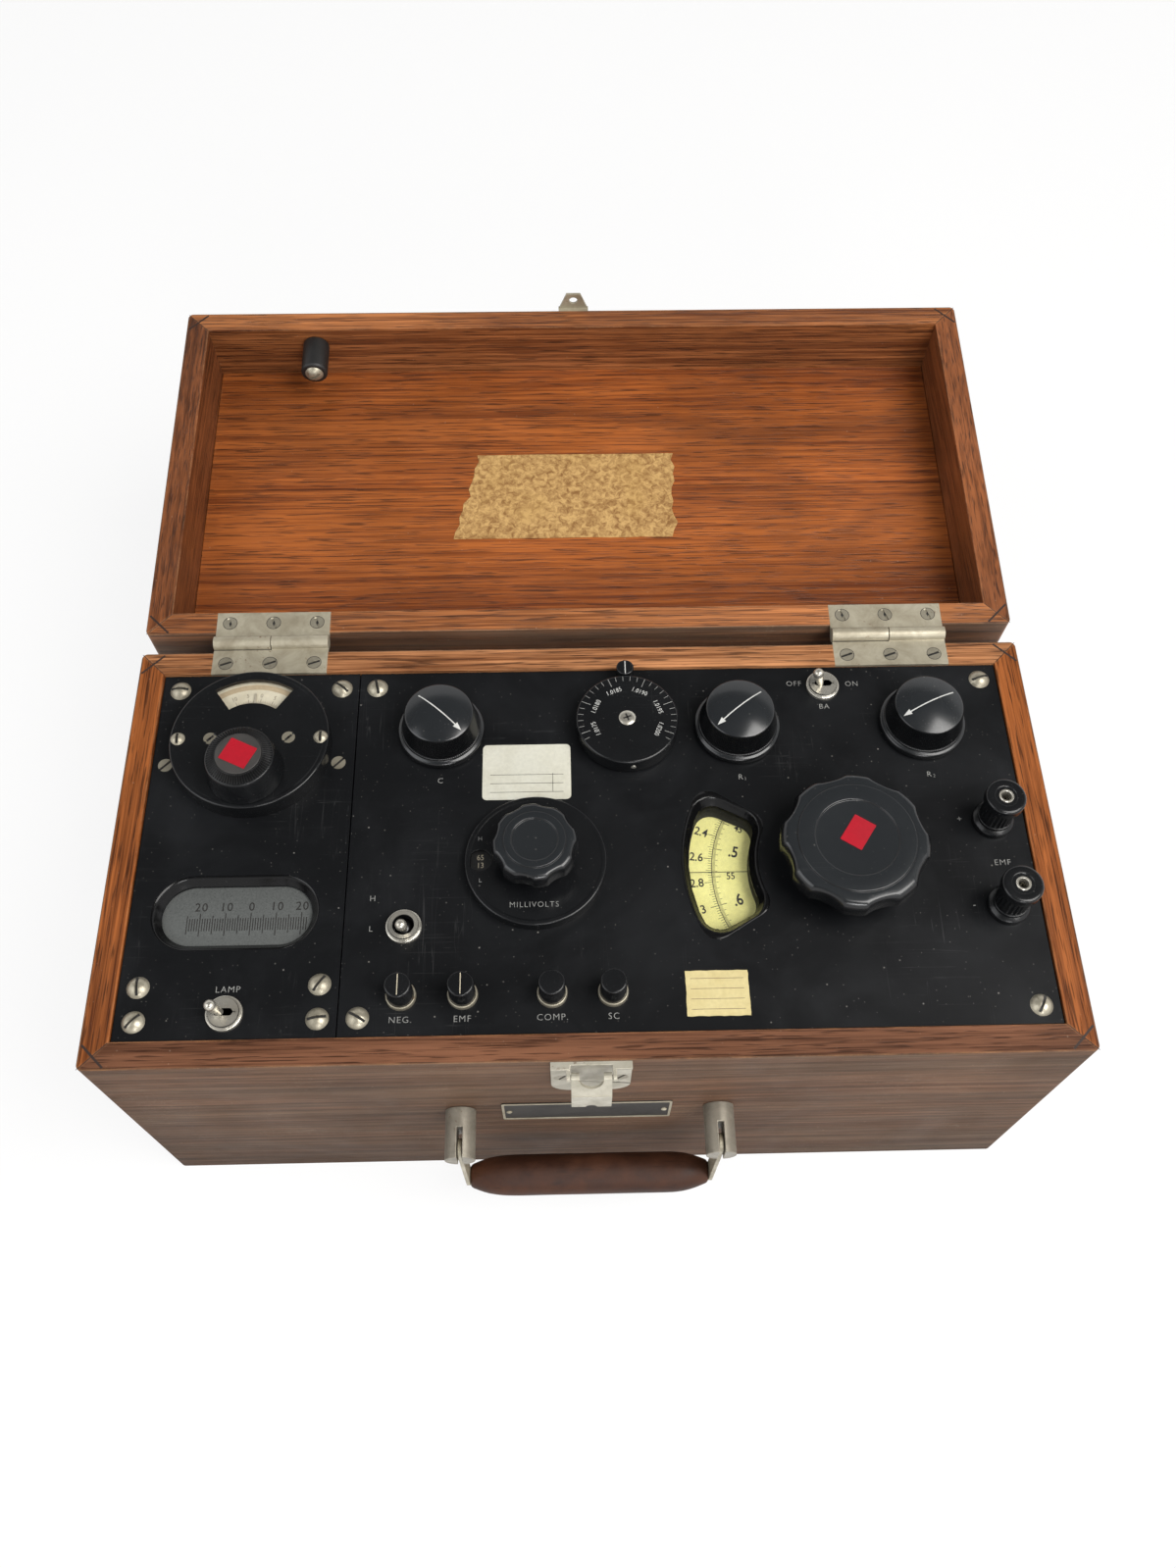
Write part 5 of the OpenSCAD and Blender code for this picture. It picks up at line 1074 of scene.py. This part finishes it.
def tornSheet(bm, width, depth, ragged, thick, place, slant=0.0):
    part = bmesh.new()
    shape = Matrix.Diagonal((width, depth, 1, 1))
    bmesh.ops.create_grid(part, x_segments=12, y_segments=12, size=0.5, matrix=shape)
    for vert in sorted(part.verts, key=lambda item: (round(item.co.x, 3), round(item.co.y, 3))):
        if abs(vert.co.x) > width / 2 - 0.001:
            if vert.co.x < 0:
                vert.co.x -= slant * (vert.co.y / depth + 0.5)
            vert.co.x += random.uniform(-ragged, ragged)
        elif abs(vert.co.y) > depth / 2 - 0.001:
            vert.co.y += random.uniform(-0.15, 0.15)
    thicken(part, thick)
    addPart(bm, part, place)


paper = 0.12
rule = (0.2, 0.02)    # width and thickness
white = dict(center=(-24.45, 32.15), size=(37.5, 26.7), corner=2.0, rows=(22.4, 26.6, 30.8), row=31.0)
yellow = dict(center=(50.05, -68.1), size=(24.7, 18.6), ragged=0.15,
              rows=(-74.6, -70.4, -66.2, -62.0), row=21.0)


def rules(x, label):
    return [(bar, label["row"], rule[0], at(x, y, panelTop + paper), rule[1]) for y in label["rows"]]


slab = (roundedSlab, *white["size"], white["corner"], 0, paper, at(*white["center"], panelTop))
makePiece("whiteLabel", [slab], "whitePaper", "case")
divider = (bar, rule[0], 9.0, at(-13.4, 26.8, panelTop + paper), rule[1])
makePiece("whiteLabelRules", rules(-24.4, white) + [divider], "inkBlack", "case")
sheet = (tornSheet, *yellow["size"], yellow["ragged"], paper, at(*yellow["center"], panelTop))
makePiece("yellowLabel", [sheet], "yellowPaper", "case")
makePiece("yellowLabelRules", rules(50.0, yellow), "inkBrown", "case")

tape = dict(size=(97.0, 51.1), reach=101.45, ragged=1.6, thick=0.23, slant=12.0, low=186.15)
place = lidSwing @ at(0, lidHinge[1] - tape["reach"], tape["low"])
sheet = (tornSheet, *tape["size"], tape["ragged"], tape["thick"], place, tape["slant"])
makePiece("lidTape", [sheet], "mottledTape", "lid")

plate = dict(size=(71.5, 23.0), center=(-1.25, -94.5, 87.5), corner=1.0, border=2, rivetIn=3)
rivet = [(0, 0.4), (1.2, 0.4), (1.2, 0.8), (0.8, 1.2, 0.3), (0, 1.3)]
place = Matrix.Translation(plate["center"]) @ rotation(90, "X")


def plateEdge(inset, z):
    wide, high = (value - inset for value in plate["size"])
    return lambda part: roundedFace(part, wide, high, plate["corner"], z)


slab = (roundedSlab, *plate["size"], plate["corner"], 0, 0.5, place)
makePiece("barePlate", [slab], "etchedPlate", "case")
border = plate["border"]
edges = [plateEdge(0, 0.45), plateEdge(0, 0.75), plateEdge(border, 0.75), plateEdge(border, 0.45)]
rivetX = plate["size"][0] / 2 - plate["rivetIn"]
rivets = [(turned, rivet, 20, place @ at(x, 0)) for x in (-rivetX, rivetX)]
makePiece("plateBorder", [(bridged, edges, place)] + rivets, "leafNickel", "case")

# Splines across the mitres

spline = dict(x=189.5, y=89.0, wide=(13.0, 0.9), line=(14.6, 0.25), thick=0.05, lineThick=0.045)
splines = dict(case=[], lid=[])
for sx, sy in ((-1, -1), (-1, 1), (1, -1), (1, 1)):
    spot = (sx * spline["x"], sy * spline["y"])
    turn = -45 * sx * sy
    for body, swing, z, lineZ in (("case", Matrix(), caseRim - 0.02, caseRim - 0.02),
                                  ("lid", lidSwing, lidRim - 0.03, lidRim - 0.025)):
        splines[body].append((bar, *spline["wide"], swing @ at(*spot, z, turn), spline["thick"]))
        splines[body].append((bar, *spline["line"], swing @ at(*spot, lineZ, -turn), spline["lineThick"]))
for body, parts in splines.items():
    makePiece(body + "Splines", parts, "jointLine", body)
print("paper, plate and splines")

# Lettering: text, place and height

legends = (("C", -61.0, 28.4, 2.6), ("R", 66.4, 28.0, 2.6), ("1", 68.4, 27.2, 1.6), ("R", 146.9, 27.9, 2.6),
           ("2", 149.0, 27.1, 1.6), ("OFF", 93.5, 74.6, 2.6), ("ON", 119.1, 74.1, 2.6),
           ("BA", 105.7, 62.6, 2.6), ("H", -86.7, -25.4, 2.6), ("L", -86.8, -38.6, 2.6), ("+", 156.5, 6.2, 3.0),
           ("-", 156.5, -32.6, 3.4), ("EMF", 171.2, -14.1, 2.7), ("NEG.", -73.5, -76.7, 2.7),
           ("EMF", -49.5, -76.7, 2.7), ("COMP.", -14.6, -76.7, 2.7), ("SC", 9.2, -76.7, 2.7),
           ("LAMP", -141.0, -63.0, 2.7))
words = [(letters, text, height, at(x, y, panelTop + 0.02), 1.0, -0.012, 1.15)
         for text, x, y, height in legends]
makePiece("panelLegends", words, "paintDim", "case")
coverZ = panelTop + 5.02
words = [(letters, "MILLIVOLTS", 2.5, at(-21.4, -31.4, coverZ), 0.95, -0.014, 1.2),
         (letters, "H", 1.9, at(-43.4, -1.7, coverZ), 1.0, -0.012),
         (letters, "L", 1.9, at(-43.1, -20.4, coverZ), 1.0, -0.012)]
makePiece("coverLegends", words, "paintDim", "case")
print("lettering")

# Floor, light and finish


def stageMaterial(name, white):
    # plain pale paint, with some of it shown as white to the camera, to metal and to glass
    place = newMaterial(name)
    color = mixColor(noise(place, 3.0), (0.93, 0.93, 0.925), (0.95, 0.95, 0.948))
    dress(color, 0.9, shine=0.1)
    tree = color.id_data
    rays = tree.nodes.new("ShaderNodeLightPath").outputs
    seen = math1("MAXIMUM", rays["Is Camera Ray"], rays["Is Glossy Ray"])
    seen = math1("MAXIMUM", seen, rays["Is Transmission Ray"])
    glow = tree.nodes.new("ShaderNodeEmission")
    wire(glow, {"Color": (1, 1, 1), "Strength": 1.0})
    paint = tree.nodes["Principled BSDF"].outputs[0]
    mix = addNode("ShaderNodeMixShader", {0: times(seen, white), 1: paint, 2: glow.outputs[0]}).outputs[0]
    wire(tree.nodes["Material Output"], {"Surface": mix})


def stagePiece(name, bm, material, white):
    stageMaterial(material, white)
    mesh = bpy.data.meshes.new(name)
    bm.to_mesh(mesh)
    bm.free()
    mesh.materials.append(looks[material])
    piece = linked(name, mesh)


bm = bmesh.new()
bmesh.ops.create_grid(bm, x_segments=1, y_segments=1, size=5.0)
stagePiece("floor", bm, "paleFloor", 0.85)
bm = bmesh.new()
raised = Matrix.Translation((0, 0, 1.59))
bmesh.ops.create_cone(bm, segments=96, radius1=4.5, radius2=4.5, depth=3.2, matrix=raised)
stagePiece("backdrop", bm, "paleBackdrop", 1.0)


def areaLight(name, place, target, size, power, color=(1, 1, 1)):
    lamp = setUp(bpy.data.lights.new(name, "AREA"), shape="RECTANGLE", size=size[0], size_y=size[1],
                 energy=power, color=color)
    aim = (Vector(target) - Vector(place)).to_track_quat("-Z", "Y")
    linked(name, lamp).matrix_world = Matrix.Translation(place) @ aim.to_matrix().to_4x4()


areaLight("keyLight", (0.95, -0.45, 1.65), (0, 0.05, 0.1), (1.2, 1.2), 40, (1.0, 0.98, 0.95))
areaLight("fillLight", (-1.3, -0.4, 1.4), (0, 0.05, 0.1), (1.2, 1.2), 11, (0.96, 0.98, 1.0))
areaLight("frontLight", (0.25, -1.5, 1.0), (0, 0, 0.1), (0.5, 0.35), 8)

world = setUp(bpy.data.worlds.new("studio"), use_nodes=True)
bpy.context.scene.world = world
wire(world.node_tree.nodes["Background"], {"Color": (1, 1, 1), "Strength": 0.16})

print("scene ready")
